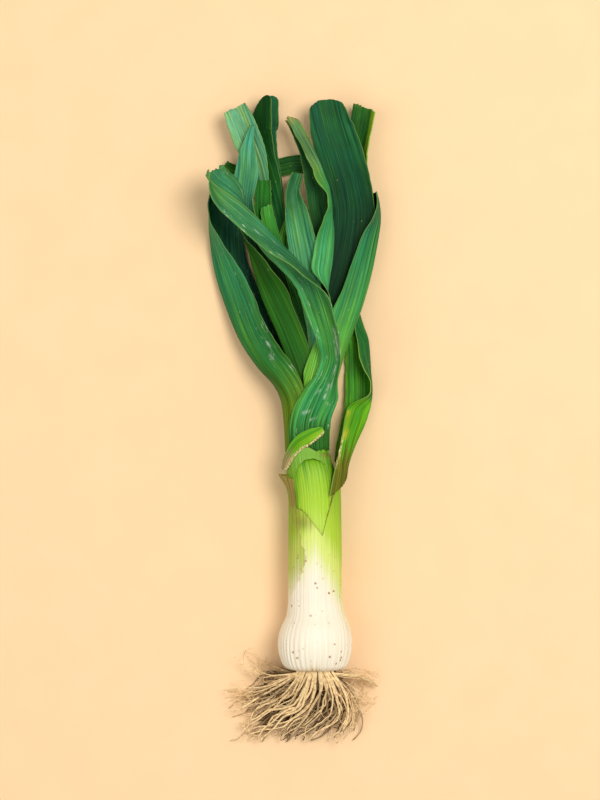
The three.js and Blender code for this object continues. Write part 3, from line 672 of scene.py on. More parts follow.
def blade_sides(line, t):
    """Unit vectors across the midrib that turn as little as possible along it."""
    frame_t = np.linspace(0, 1, FRAME_STEPS + 1)
    tangents = blade_tangents(line, frame_t)
    sides = [unit(np.cross(tangents[0], [0, 0, 1]))]
    for tangent in tangents[1:]:
        side = sides[-1] - tangent * np.dot(sides[-1], tangent)
        sides.append(unit(side))
    sides = np.array(sides)
    place = np.clip(t, 0, 1) * FRAME_STEPS
    low = np.minimum(place.astype(int), FRAME_STEPS - 1)
    share = (place - low)[:, None]
    return unit(sides[low] * (1 - share) + sides[low + 1] * share)


def blade_tangents(line, t):
    step = 1e-4
    ahead = spline_at(line, np.clip(t + step, 0, 1))
    behind = spline_at(line, np.clip(t - step, 0, 1))
    return unit(ahead - behind)


def scratches(marks, points):
    """How much each point lies on a scratch, from 0 to 1."""
    strongest = np.zeros(len(points))
    for x0, y0, x1, y1, width in marks:
        way = np.array([x1 - x0, y1 - y0])
        from_start = points[:, :2] - [x0, y0]
        along = np.clip(from_start @ way / (way @ way), 0, 1)
        away = np.linalg.norm(from_start - along[:, None] * way, axis=1)
        strongest = np.maximum(strongest, np.exp(-((away / width) ** 2)))
    return strongest


def bent_half(distance, fold, bend):
    """How far out and up a blade's half lies that is rounded by its fold over the bend, then straight."""
    bent = np.minimum(distance, bend)
    angle = fold * bent / bend
    safe = np.where(np.abs(angle) < 1e-4, 1e-4, angle)
    straight = distance - bent
    out = bent * np.sin(safe) / safe + straight * np.cos(angle)
    rise = bent * (1 - np.cos(safe)) / safe + straight * np.sin(angle)
    return out, rise, angle


def blade_points(name, seed, look):
    """The two surfaces of a blade as grids of points, with each point's place on the blade."""
    stations = np.array(LEAVES[name], float)
    line = stations[:, :3]
    sizes = stations[:, [3, 6]]
    turns = stations[:, [4, 5]]
    dense = spline_at(line, np.linspace(0, 1, 201))
    length = np.linalg.norm(np.diff(dense, axis=0), axis=1).sum()

    spread = np.linspace(-1, 1, BLADE_COLUMNS + 1)
    v = np.sign(spread) * np.abs(spread) ** MIDRIB_CROWDING
    u = np.linspace(0, 1, BLADE_STEPS + 1)
    start_reach = blade_reach(LEAF_STARTS.get(name, {}), v, seed + 1, 0.1 + look["ragged"] / 2)
    end_reach = blade_reach(LEAF_ENDS.get(name, {}), v, seed + 2, 0.2 + look["ragged"])
    first = -start_reach / length
    last = 1 + end_reach / length
    t = first[None, :] + (last - first)[None, :] * u[:, None]
    flat_t = t.ravel()
    flat_v = np.tile(v, len(u))
    inside = np.clip(flat_t, 0, 1)

    tangent = blade_tangents(line, inside)
    centre = spline_at(line, inside) + tangent * ((flat_t - inside) * length)[:, None]
    half, bend = spline_at(sizes, inside).T
    left, right = np.radians(spline_at(turns, inside)).T
    roll = ((right - left) / 2)[:, None]
    fold = (right + left) / 2
    across = blade_sides(line, inside)
    above = np.cross(across, tangent)
    side = across * np.cos(roll) + above * np.sin(roll)
    face = above * np.cos(roll) - across * np.sin(roll)

    along = flat_t * length
    half = half + 0.16 * waviness(seed + 3, along, 0.1, 0.9)
    worn = np.zeros(len(flat_v))
    if look["worn_margin"]:
        torn_side, worn_from, worn_to = look["worn_margin"]
        worn = np.clip((flat_t - worn_from) * 12, 0, 1) * np.clip((worn_to - flat_t) * 12, 0, 1)
        worn = worn * (np.sign(flat_v) == torn_side)
        half = half + worn * (0.35 * waviness(seed + 8, along, 0.5, 4) - 0.35) * min(1, half.mean() / 6)
    sign = np.sign(flat_v)
    edge = np.abs(flat_v)
    out, rise, angle = bent_half(edge * half, fold, bend)
    thickness = BLADE_RIB + (BLADE_EDGE - BLADE_RIB) * np.minimum(1, edge * 1.5)

    across_mm = flat_v * half
    relief = look["pleat"] * waviness(seed + 4, across_mm, 1.2, 3.4) * np.minimum(1, 3 * (1 - edge))
    wave = np.where(flat_v > 0, waviness(seed + 5, along, 0.12, 0.5), waviness(seed + 6, along, 0.12, 0.5))
    small_leaf = np.minimum(1, half / 12)
    relief = relief + look["ruffle"] * small_leaf * edge**4 * wave
    normal = side * (-sign * np.sin(angle))[:, None] + face * np.cos(angle)[:, None]
    middle = centre + side * (sign * out)[:, None] + face * rise[:, None] + normal * relief[:, None]
    shift = normal * (thickness / 2)[:, None]
    uv = np.stack([across_mm, along], 1) * 0.01
    places = {
        "reach": flat_t, "margin": (1 - edge) * half, "cross": flat_v, "across": across_mm, "worn": worn,
    }
    if look["marks"]:
        places["mark"] = scratches(look["marks"], middle)
    return middle + shift, middle - shift, uv, places


def blade_faces(rows, columns):
    """Faces of two grids, one under the other, joined round their rim."""
    below = rows * columns
    faces = []
    for i in range(rows - 1):
        for j in range(columns - 1):
            a = i * columns + j
            faces.append((a, a + 1, a + columns + 1, a + columns))
            b = a + below
            faces.append((b, b + columns, b + columns + 1, b + 1))
        left = i * columns
        faces.append((left, left + columns, left + columns + below, left + below))
        right = left + columns - 1
        faces.append((right, right + below, right + columns + below, right + columns))
    for j in range(columns - 1):
        faces.append((j, j + below, j + 1 + below, j + 1))
        last = (rows - 1) * columns + j
        faces.append((last, last + 1, last + 1 + below, last + below))
    return faces


def add_blade(name, seed):
    look = PLAIN_LOOK | LEAF_LOOKS[name]
    upper, lower, uv, places = blade_points(name, seed, look)
    attributes = {key: np.concatenate([values, values]) for key, values in places.items()}
    attributes["outside"] = np.concatenate([np.zeros(len(upper)), np.ones(len(lower))])
    faces = blade_faces(BLADE_STEPS + 1, BLADE_COLUMNS + 1)
    points = np.vstack([upper, lower])
    piece = add_mesh(f"{name}_blade", points, faces, np.vstack([uv, uv]), attributes)
    settle(piece, name, leaf_material(f"{name}_surface", seed, look))


class Graph:
    """A material's node tree, built from short calls that each return an output socket."""

    def __init__(self, name, roughness, specular=0.25):
        self.material = bpy.data.materials.new(name)
        self.material.use_nodes = True
        self.tree = self.material.node_tree
        self.shader = self.tree.nodes["Principled BSDF"]
        self.shader.inputs["Roughness"].default_value = roughness
        self.shader.inputs["Specular IOR Level"].default_value = specular

    def node(self, kind, inputs, **settings):
        made = self.tree.nodes.new(kind)
        for key, value in settings.items():
            setattr(made, key, value)
        for key, value in inputs.items():
            socket = made.inputs[key]
            if isinstance(value, bpy.types.NodeSocket):
                self.tree.links.new(value, socket)
            else:
                socket.default_value = value
        return made

    def attribute(self, name):
        return self.node("ShaderNodeAttribute", {}, attribute_name=name).outputs["Fac"]

    def place(self):
        return self.node("ShaderNodeTexCoord", {}).outputs["Object"]

    def parts(self, vector):
        return self.node("ShaderNodeSeparateXYZ", {"Vector": vector}).outputs

    def stretch(self, vector, scale, offset=(0, 0, 0)):
        inputs = {"Vector": vector, "Scale": scale, "Location": offset}
        return self.node("ShaderNodeMapping", inputs).outputs["Vector"]

    def noise(self, vector, scale=1.0, detail=2.0, roughness=0.5):
        inputs = {"Vector": vector, "Scale": scale, "Detail": detail, "Roughness": roughness}
        return self.node("ShaderNodeTexNoise", inputs).outputs["Fac"]

    def specks(self, vector, scale, radius, share):
        """Round specks of about that radius, in cells, of which only a share holds one."""
        cells = self.node("ShaderNodeTexVoronoi", {"Vector": vector, "Scale": scale, "Randomness": 1.0})
        chance = self.parts(cells.outputs["Color"])[0]
        inside = self.remap(cells.outputs["Distance"], radius * 1.3, radius * 0.6)
        return self.math("MULTIPLY", inside, self.remap(chance, share + 0.02, share - 0.02))

    def remap(self, value, low, high, to_low=0.0, to_high=1.0):
        inputs = {"Value": value, "From Min": low, "From Max": high, "To Min": to_low, "To Max": to_high}
        return self.node("ShaderNodeMapRange", inputs, interpolation_type="SMOOTHSTEP").outputs["Result"]

    def math(self, operation, a, b):
        return self.node("ShaderNodeMath", {0: a, 1: b}, operation=operation).outputs[0]

    def product(self, *factors):
        result = factors[0]
        for factor in factors[1:]:
            result = self.math("MULTIPLY", result, factor)
        return result

    def stray(self, value, noise, by):
        """The value, moved up and down by a noise that is 0.5 on average."""
        return self.math("ADD", value, self.product(self.math("SUBTRACT", noise, 0.5), by))

    def mix(self, factor, a, b, blend="MIX"):
        made = self.node("ShaderNodeMix", {"Factor": factor}, data_type="RGBA", blend_type=blend)
        for key, value in (("A_Color", a), ("B_Color", b)):
            socket = next(s for s in made.inputs if s.identifier == key)
            if isinstance(value, bpy.types.NodeSocket):
                self.tree.links.new(value, socket)
            else:
                socket.default_value = (*value, 1)
        return next(s for s in made.outputs if s.identifier == "Result_Color")

    def times(self, colour, by):
        return self.mix(1.0, colour, by, "MULTIPLY")

    def tint(self, factor, colour, by):
        """The colour multiplied by another one, as far as the factor says."""
        return self.mix(factor, colour, self.times(colour, by))

    def finish(self, colour, height=None, depth=0.1, roughness=None):
        self.tree.links.new(colour, self.shader.inputs["Base Color"])
        if roughness is not None:
            self.tree.links.new(roughness, self.shader.inputs["Roughness"])
        if height is not None:
            bump = self.node("ShaderNodeBump", {"Height": height, "Distance": depth * MM, "Strength": 1.0})
            self.tree.links.new(bump.outputs["Normal"], self.shader.inputs["Normal"])
        return self.material


class LeafGraph(Graph):
    """A leaf's material. From right_half on, each method lays one thing over the colour it is given."""

    def __init__(self, name, seed, look):
        super().__init__(name, roughness=0.5, specular=0.07)
        self.look = look
        self.seed = seed
        self.shift = (seed * 3.7, seed * 1.3, 0)
        self.blade = self.node("ShaderNodeUVMap", {}, uv_map="blade").outputs["UV"]
        self.reach = self.attribute("reach")
        self.margin = self.attribute("margin")
        self.fine = self.grain((110, 1.2, 1), self.shift, 3, 0.65)
        self.ribs = self.grain((44, 0.6, 1), self.shift, 3, 0.65)
        self.patches = self.grain((9, 3.2, 1), self.shift, 4)
        self.hue = self.grain((24, 1.8, 1), (seed * 1.9, 0, 0), 3)

    def grain(self, scale, shift, detail, roughness=0.5):
        """Noise over the blade, scaled across and along it."""
        return self.noise(self.stretch(self.blade, scale, shift), detail=detail, roughness=roughness)

    def face(self, side):
        """One face's colour: low to high on the blade, wandering between bluish and yellowish."""
        colours = self.look[side]
        low, high = colours if isinstance(colours, list) else [colours, colours]
        colour = self.mix(self.remap(self.reach, *self.look["turn"]), low, high)
        colour = self.times(colour, (0.80, 1.04, 0.88))
        colour = self.tint(self.remap(self.hue, 0.54, 0.40, 0, 0.60), colour, BLUER)
        colour = self.tint(self.remap(self.hue, 0.54, 0.70, 0, 0.55), colour, YELLOWER)
        return self.tint(self.remap(self.patches, 0.60, 0.36, 0, 0.50), colour, SHADED)

    def right_half(self, colour):
        return self.mix(self.remap(self.attribute("cross"), 0.1, 0.5), colour, self.look["right_half"])

    def base(self, colour):
        end = self.look["base_end"]
        wander = self.stray(self.reach, self.ribs, 0.25)
        return self.mix(self.remap(wander, end, end * 0.3), colour, self.look["base"])

    def veins(self, colour):
        light = self.times(colour, LIGHT_VEIN)
        dark = self.times(colour, DARK_VEIN)
        colour = self.mix(self.remap(self.fine, 0.51, 0.66, 0, 0.85), colour, light)
        colour = self.mix(self.remap(self.fine, 0.47, 0.32, 0, 0.80), colour, dark)
        colour = self.mix(self.remap(self.ribs, 0.47, 0.30, 0, 0.62), colour, dark)
        return self.mix(self.remap(self.ribs, 0.56, 0.72, 0, 0.34), colour, light)

    def flecks(self, colour):
        flecks = self.specks(self.stretch(self.blade, (40, 16, 1), self.shift), 1.0, 0.10, 0.10)
        return self.mix(self.product(flecks, 0.6), colour, (0.40, 0.46, 0.14))

    def scars(self, colour):
        scar = self.grain((52, 8, 1), (self.seed, 5, 0), 4, 0.75)
        scar = self.product(self.remap(scar, 0.605, 0.65), self.remap(self.margin, 14, 2))
        return self.mix(self.product(scar, 0.8 * self.look["scars"]), colour, (0.42, 0.52, 0.36))

    # Painted shade: the blade is painted darker and bluer between the shares of its length that the look
    # gives
    def painted_shade(self, colour):
        low, high, strength = self.look["painted_shade"]
        fade = (high - low) * 0.4
        painted_shade = self.product(
            self.remap(self.reach, low, low + fade),
            self.remap(self.reach, high, high - fade),
            self.remap(self.patches, 0.30, 0.60, 0.5, 1.0),
        )
        return self.tint(self.product(painted_shade, strength), colour, PAINTED_SHADE_TINT)

    def marks(self, colour):
        scratched = self.grain((70, 14, 1), (self.seed, 9, 0), 4, 0.8)
        scratched = self.product(self.attribute("mark"), self.remap(scratched, 0.42, 0.56))
        return self.mix(self.product(scratched, 0.85), colour, (0.50, 0.60, 0.48))

    def sallow(self, colour):
        low, high = self.look["sallow"]
        spread = (high - low) / 2
        off = self.math("ABSOLUTE", self.math("SUBTRACT", self.reach, low + spread), 0.0)
        sallow = self.product(
            self.remap(off, spread, spread * 0.3),
            self.remap(self.margin, 5.5, 2.5),
            self.remap(self.attribute("cross"), 0.0, 0.2),
            self.remap(self.patches, 0.40, 0.52, 0.15, 1.0),
        )
        return self.mix(self.product(sallow, 0.85), colour, (0.62, 0.42, 0.03))

    def crease(self, colour):
        line = self.remap(self.math("ABSOLUTE", self.attribute("across"), 0.0), 0.55, 0.10)
        line = self.product(line, self.remap(self.reach, 0.52, 0.62))
        return self.mix(self.product(line, self.look["crease"]), colour, (0.30, 0.46, 0.14))

    def rim(self, colour):
        place = self.math("ADD", self.margin, self.product(self.fine, 0.15))
        return self.mix(self.remap(place, 0.55, 0.16, 0, self.look["rim"]), colour, (0.22, 0.38, 0.06))

    def worn_margin(self, colour):
        frayed = self.grain((160, 60, 1), self.shift, 3)
        tan = self.mix(self.remap(frayed, 0.40, 0.60), (0.25, 0.15, 0.03), (0.72, 0.62, 0.32))
        place = self.math("SUBTRACT", self.margin, self.product(frayed, 2.4))
        return self.mix(self.product(self.remap(place, 0.5, -0.3), self.attribute("worn")), colour, tan)

    def dry_end(self, colour):
        wander = self.stray(self.reach, self.ribs, 0.04)
        ends = self.remap(wander, 0.985, 1.03, 0, min(1, self.look["dry"] * 1.2))
        brown = self.mix(self.remap(self.fine, 0.4, 0.6), (0.20, 0.14, 0.03), (0.40, 0.38, 0.10))
        return self.mix(ends, colour, brown)


def leaf_material(name, seed, look):
    """Parallel veins, paler margins, a young base, pale flecks and scars, and a dry cut end."""
    g = LeafGraph(name, seed, look)
    colour = g.mix(g.attribute("outside"), g.face("inside"), g.face("outside"))
    overlays = {
        "right_half": g.right_half, "base": g.base, "veins": g.veins, "flecks": g.flecks, "scars": g.scars,
        "painted_shade": g.painted_shade, "marks": g.marks, "sallow": g.sallow, "crease": g.crease, "rim": g.rim,
        "worn_margin": g.worn_margin, "dry": g.dry_end,
    }
    for key, overlay in overlays.items():
        if look.get(key, True):
            colour = overlay(colour)
    height = g.math("ADD", g.product(g.fine, 0.5), g.ribs)
    return g.finish(colour, height, 0.30, g.remap(g.patches, 0.3, 0.7, 0.40, 0.60))


def shaft_material(name, seed, rows, side_shift):
    """Colour along the shaft by rows of [y, colour], with lengthwise streaks and brown specks.

    The sides turn green lower down than the middle, partly in the sheath's own colour and partly as a
    painted highlight down the middle: side_shift is by how many mm per mm of x.
    """
    g = Graph(name, roughness=0.38, specular=0.3)
    place = g.place()
    x, y, _ = g.parts(place)
    streaks = g.node("ShaderNodeCombineXYZ", {"X": g.attribute("turn"), "Y": y, "Z": 0.0}).outputs["Vector"]
    fine = g.noise(g.stretch(streaks, (16, 7, 1), (seed, 0, 0)), detail=3)
    broad = g.noise(g.stretch(streaks, (4, 12, 1), (0, seed, 0)), detail=3)
    # Painted highlight, in part: the middle stays pale higher up than the sides; the right side's extra
    # green is the sheath's own
    right = g.math("MAXIMUM", g.product(x, 0.6), 0.0)
    side = g.product(g.math("ADD", g.math("ABSOLUTE", x, 0.0), right), side_shift)
    wander = g.stray(g.stray(g.math("ADD", y, side), broad, 0.030), fine, 0.016)
    colour = rows[0][1]
    for (low, _), (high, next_colour) in zip(rows, rows[1:]):
        colour = g.mix(g.remap(wander, low * MM, high * MM), colour, next_colour)
    green = g.remap(wander, 0.045, 0.085)
    dark_streak = g.mix(green, (0.80, 0.66, 0.42), (0.50, 0.62, 0.30))
    light_streak = g.mix(green, (0.95, 0.92, 0.80), (0.60, 0.76, 0.24))
    colour = g.tint(g.remap(fine, 0.48, 0.28, 0, 0.60), colour, dark_streak)
    colour = g.mix(g.remap(fine, 0.58, 0.74, 0, 0.45), colour, light_streak)
    tan_veins = g.noise(g.stretch(streaks, (34, 11, 1), (seed, 3, 0)), detail=4, roughness=0.7)
    veined = g.product(g.remap(tan_veins, 0.57, 0.68, 0, 0.6), g.remap(y, 0.070, 0.020))
    colour = g.mix(veined, colour, (0.56, 0.36, 0.13))
    colour = shaft_wear(g, colour, fine, broad, tan_veins)
    clusters = g.remap(g.noise(place, scale=60, detail=1), 0.46, 0.56, 0.25, 1.0)
    low_down = g.remap(y, 0.075, 0.040)
    dots = g.product(g.specks(place, 250, 0.22, 0.45), g.product(clusters, low_down))
    colour = g.mix(g.product(dots, 0.95), colour, (0.34, 0.15, 0.025))
    return g.finish(colour, fine, 0.35, g.remap(broad, 0.3, 0.7, 0.32, 0.50))


def shaft_wear(g, colour, fine, broad, tan_veins):
    """The old skin, the stain, the old skin's loose edge and the dried parts, over the shaft's colour."""
    colour = g.tint(g.product(g.attribute("old_skin"), 0.72), colour, (0.58, 0.62, 0.30))
    stained = g.product(g.attribute("stain"), g.remap(tan_veins, 0.36, 0.56))
    colour = g.mix(g.product(stained, 0.75), colour, (0.16, 0.16, 0.025))
    skin_line = g.product(g.attribute("skin_line"), g.remap(broad, 0.30, 0.45, 0.45, 1.0))
    colour = g.mix(g.product(skin_line, 0.8), colour, (0.42, 0.27, 0.08))
    dry_colour = g.mix(g.remap(fine, 0.35, 0.62), (0.11, 0.070, 0.010), (0.36, 0.29, 0.055))
    return g.mix(g.attribute("dry"), colour, dry_colour)


def shell_profile(rows, y):
    dense = spline_at(rows, np.linspace(0, 1, 400))
    return (np.interp(y, dense[:, 0], dense[:, k]) for k in (1, 2, 3))


def shell_points(rows, turn, y, relief, stretch=1.0):
    x, z, radius = shell_profile(rows, y)
    radius = radius + relief
    return np.stack([x + radius * np.cos(turn), y, np.maximum(z + stretch * radius * np.sin(turn), 0)], -1)


def margin_height(rows, margin, turn, back):
    """The height of a sheath's margin all round: the outline over the front, and one height at the back."""
    guess = np.full_like(turn, back)
    for _ in range(6):
        x, _, radius = shell_profile(rows, guess)
        guess = np.where(np.sin(turn) > 0, read_off(margin, x + radius * np.cos(turn)), back)
    return guess


def shaft_relief(turn, y, seed):
    """Lengthwise ridges, strongest where the bulb draws in to its base."""
    ridge = np.zeros_like(turn)
    chance = random.Random(seed)
    for _ in range(RIDGE_WAVES):
        waves = chance.randint(14, 60)
        start = chance.uniform(0, math.tau)
        ridge += 0.28 * np.sin(waves * turn + start + 1.5 * np.sin(y / 40 + chance.random()))
    depth = 0.12 + 0.42 * falling(y, 10, 30) ** 1.5
    return ridge * depth - 0.1


def flared(turn, y, flare):
    """How far a sheath's margin curls outwards: flare is [angle, its spread, first y, last y, reach]."""
    if not flare:
        return 0
    at, spread, first, last, reach = flare
    return reach * rising(y, first, last - first) ** 2 * np.exp(-(((turn - at) / spread) ** 2))


def turned_in_rim(rows, turn, margin, outer, stretch, upward):
    """Rings that turn a sheath's margin in and lead it on, out of sight, under the sheath inside it."""
    lip = shell_points(rows, turn, margin, outer - RIM * 0.25, stretch)
    lip[:, 1] += upward * RIM * 0.3
    inward = shell_points(rows, turn, margin, outer - RIM, stretch)
    hidden = shell_points(rows, turn, margin, outer - RIM_REACH, stretch)
    return np.stack([lip, inward, hidden][::upward])


def skin_attributes(flat, seed):
    """Where the old skin, its loose edge and the stain lie on a sheath."""
    x, y, z = flat.T
    past = read_off(OLD_SKIN_EDGE, y) + 0.5 * waviness(seed + 9, y, 0.3, 1.4) - x
    front = rising(z, 20, 6)
    below_margin = rising(y, 26, 22) * falling(y, 90, 4)
    stain_x, stain_y, stain_size = STAIN
    off = np.hypot(x - stain_x, y - stain_y) / stain_size
    return {
        "old_skin": rising(past, 0, 0.8) * front * below_margin,
        "skin_line": np.exp(-((past / 0.45) ** 2)) * front * below_margin,
        "stain": np.exp(-(off**2)) * front,
    }


def add_shell(name, rows, low, high, seed, material, rim=0, stretch=1.0, flare=None, browned=None):
    """A sheath between two heights that change round it.

    rim is 1 where its upper margin is turned in and dried, -1 for its lower one and 0 for neither.
    """
    turn = np.linspace(0, math.tau, SHELL_SIDES, endpoint=False)
    low, high = low(turn), high(turn)
    share = np.linspace(0, 1, SHELL_STEPS)[:, None]
    heights = low[None, :] * (1 - share) + high[None, :] * share
    angles = np.broadcast_to(turn, heights.shape)
    relief = shaft_relief(angles, heights, seed) + flared(angles, heights, flare)
    points = shell_points(rows, angles, heights, relief, stretch)
    if rim:
        at = -1 if rim > 0 else 0
        rings = turned_in_rim(rows, turn, heights[at], relief[at], stretch, rim)
        rim_heights = np.stack([heights[at]] * len(rings))
        points = np.concatenate([points, rings][::rim])
        heights = np.concatenate([heights, rim_heights][::rim])
    count = len(points)
    flat = points.reshape(-1, 3)
    turns = np.tile(turn, count)
    margin_distance = np.abs((high if rim > 0 else low)[None, :] - heights).ravel()
    attributes = skin_attributes(flat, seed)
    attributes["turn"] = np.abs(turns / math.tau * 20 - 10)
    attributes["dry"] = browned(flat, turns, margin_distance) if browned else np.zeros(len(flat))
    piece = add_mesh(name, flat, ring_faces(0, count, SHELL_SIDES, flipped=True), None, attributes)
    settle(piece, "shaft", material)


def torn_margin_browning(flat, turns, margin_distance):
    """The outer sheath's torn margin, its dry left strip and the brown skin beside the notch."""
    x, y, z = flat.T
    front = rising(z, 24, 4)
    line = falling(margin_distance, 0.66, 0.6) * 0.8
    strip = falling(x, -12.9, 0.8) * rising(y, 84, 6) * front * 0.99
    notch = rising(x, -17, 3) * falling(x, 2, 5) * rising(y, 71, 8) * front
    streaks = 0.55 + 0.45 * waviness(31, turns * 18, 0.8, 3)
    return np.clip(np.maximum(np.maximum(line, strip), notch * streaks * 0.6), 0, 1)


def collar_browning(flat, turns, margin_distance):
    """The collar's right end has dried to tan, and so has a thin line along its upper rim."""
    x, y, z = flat.T
    line = np.exp(-(((read_off(COLLAR_RIM, x) - y) / 0.5) ** 2)) * rising(z, 24, 4)
    tan = rising(x, 2, 5) * rising(y, 121, 2.5) * rising(z, 22, 4)
    return np.clip(np.maximum(tan * 0.8, line * 0.55), 0, 1)


def level(y):
    """A sheath's end that is at one height all round."""
    return lambda turn: np.full_like(turn, y)


def torn_margin(turn):
    """The outer sheath's upper margin, which runs up to a point at its dried left strip."""
    point = 3.2 * np.exp(-(((turn - STRIP_TURN) / 0.22) ** 2))
    return margin_height(OUTER_SHEATH, TORN_MARGIN, turn, 106) + point


def add_shaft():
    add_shell(
        "shaft_outer_sheath", OUTER_SHEATH, level(-20.6), torn_margin, 11,
        shaft_material("outer_sheath_surface", 2.0, OUTER_COLOURS, 1.15), rim=1,
        flare=[STRIP_TURN, 0.28, 97, 110, 4.6], browned=torn_margin_browning,
    )
    add_shell(
        "shaft_inner_sheath", INNER_SHEATH, level(60.0), level(149.8), 12,
        shaft_material("inner_sheath_surface", 5.0, INNER_COLOURS, 0.5),
    )
    add_shell(
        "shaft_collar", COLLAR, lambda turn: margin_height(COLLAR, COLLAR_EDGE, turn, 88.0),
        lambda turn: margin_height(COLLAR, COLLAR_RIM, turn, 122.6), 13,
        shaft_material("collar_surface", 8.0, COLLAR_COLOURS, 0.0), rim=-1, stretch=1.05,
        browned=collar_browning,
    )


def tube_points(line, radius, sides):
    """Rings of points round a line of centres, with each ring's radius."""
    tangents = unit(np.gradient(line, axis=0))
    side = unit(np.cross(tangents[0], [0.3, 0.2, 1]))
    rings = []
    angles = np.linspace(0, math.tau, sides, endpoint=False)
    for centre, tangent, r in zip(line, tangents, radius):
        side = unit(side - tangent * np.dot(side, tangent))
        other = np.cross(tangent, side)
        rings.append(centre + r * (np.cos(angles)[:, None] * side + np.sin(angles)[:, None] * other))
    return np.array(rings)


def height_on_plate(x, share):
    return PLATE_HEIGHT + share * math.sqrt(max(PLATE_RADIUS**2 - x * x, 0))


def swing(chance, share, fewest, most):
    """A sine wave along a root, with a random number of waves and start."""
    waves = chance.uniform(fewest, most)
    return np.sin(share * waves + chance.uniform(0, math.tau))


def root_line(chance, path, start_share, tip_height, scatter, first):
    """A root's centre line: it leaves the plate's rim, follows its path loosely and sinks to the floor."""
    reach = 1.0 if first else chance.uniform(*ROOT_REACH)
    turn = 0.0 if first else math.radians(chance.gauss(0, ROOT_TURN))
    cosine, sine = math.cos(turn), math.sin(turn)
    start = np.array(path[0], float)
    start_x = float(np.clip(start[0] * 1.3 + chance.uniform(-2.2, 2.2), -12, 12))
    start_z = height_on_plate(start_x, start_share)
    points = [[start_x * 0.95, -19.8, start_z - 0.6], [start_x * 1.05, -21.6, start_z - 0.4]]
    drift = np.zeros(2)
    for k, corner in enumerate(path[1:], 1):
        along = k / (len(path) - 1)
        x, y = (np.array(corner) - start) * reach
        turned = np.array([x * cosine - y * sine, x * sine + y * cosine])
        step = np.array([chance.gauss(0, 1), chance.gauss(0, 1)])
        drift = drift + step * scatter / len(path)
        sunk = start_z + (tip_height - start_z) * math.sin(math.pi / 2 * along)
        place = np.array([start_x, start[1]]) + turned + drift
        points.append([*place, max(sunk + chance.gauss(0, 1.5) * along, 1.0)])
    points[2][2] = max(points[2][2], start_z * 0.8)
    share = np.linspace(0, 1, ROOT_STEPS)
    line = spline_at(points, share)
    way = unit(np.gradient(line, axis=0))
    sideways = np.stack([-way[:, 1], way[:, 0], np.zeros(ROOT_STEPS)], 1)
    curl = chance.uniform(0.8, 2.4) * share * swing(chance, share, 6, 15)
    kinks = 0.18 * waviness(chance.random(), share * 60, 0.5, 2)
    line = line + sideways * (curl + kinks * np.minimum(1, share * 6))[:, None]
    line[:, 2] += 0.5 * share * swing(chance, share, 8, 18)
    return line


def kept_inside(line, radius, low, high):
    """The line up to where it would leave the box, with its points spread over what is left."""
    reached = (line[:, 0] > low[0]) & (line[:, 0] < high[0]) & (line[:, 1] > low[1])
    count = len(line) if reached.all() else int(np.argmin(reached))
    if count < 4:
        return None
    place = np.linspace(0, count - 1, len(line))
    kept = np.stack([np.interp(place, np.arange(len(line)), line[:, k]) for k in range(3)], 1)
    kept[:, 2] = np.maximum(kept[:, 2], radius + FLOOR_CLEARANCE)
    return kept


def hair_line(chance, parent):
    """A fine side root that leaves a root somewhere along it and curls away."""
    at = chance.randint(5, ROOT_STEPS - 2)
    way = unit(parent[at] - parent[at - 2])
    bearing = math.atan2(way[1], way[0]) + chance.gauss(0, 0.8)
    length = chance.uniform(*HAIR_LENGTH)
    curl = chance.gauss(0, 0.10)
    fall = -parent[at][2] / length * chance.uniform(0.2, 1.0)
    points = [parent[at]]
    for _ in range(ROOT_STEPS - 1):
        bearing += curl + chance.gauss(0, 0.11)
        move = np.array([math.cos(bearing), math.sin(bearing), fall]) * length / ROOT_STEPS
        points.append(points[-1] + move)
    return np.array(points)


def root_lines():
    """Centre lines of the roots and of the fine hairs that branch from them, with radii and shades."""
    chance = random.Random(4)
    share = np.linspace(0, 1, ROOT_STEPS)
    lines = []
    for start_share, tip_height, copies, scatter, shade in ROOT_LAYERS:
        for place, path in enumerate(ROOT_PATHS):
            stray = place >= len(ROOT_PATHS) - STRAY_PATHS
            for copy in range(min(copies, STRAY_COPIES) if stray else copies):
                first = copy == 0 and start_share > 0.9
                line = root_line(chance, path, start_share, tip_height, scatter, first)
                thick = chance.uniform(*ROOT_THICKNESS) * (STRAY_THICKNESS if stray else 1)
                lumps = 1 + 0.10 * waviness(chance.random(), share * 40, 0.5, 2)
                radius = thick / 2 * (1 - 0.62 * share**1.4) * lumps
                paler = max(shade, STRAY_SHADE) if stray else shade
                lines.append((line, radius, paler + chance.uniform(-SHADE_SPREAD, SHADE_SPREAD)))
    roots = list(lines)
    for _ in range(HAIR_COUNT):
        parent, _, shade = chance.choice(roots)
        hair = hair_line(chance, parent)
        lines.append((hair, np.linspace(*HAIR_RADIUS, ROOT_STEPS), max(shade, HAIR_SHADE)))
    stout = spline_at(STOUT_ROOT, share)
    swell = 1 + 0.22 * waviness(17, share * 30, 0.4, 1.6)
    lines.append((stout, STOUT_RADIUS * swell * (1 - 0.75 * share**2), STOUT_SHADE))
    return lines


def root_material():
    g = Graph("root_surface", roughness=0.75, specular=0.25)
    place = g.place()
    grain = g.noise(place, scale=420, detail=3)
    soil = g.noise(place, scale=90, detail=3)
    # The shade attribute runs from dark to pale; its darkness is partly soil and partly painted shade in
    # the tuft
    colour = g.mix(g.attribute("shade"), (0.075, 0.030, 0.005), (0.98, 0.74, 0.40))
    colour = g.tint(g.remap(grain, 0.58, 0.36, 0, 0.5), colour, (0.50, 0.36, 0.22))
    colour = g.mix(g.remap(soil, 0.60, 0.72, 0, 0.75), colour, (0.12, 0.055, 0.012))
    return g.finish(colour, grain, 0.3)


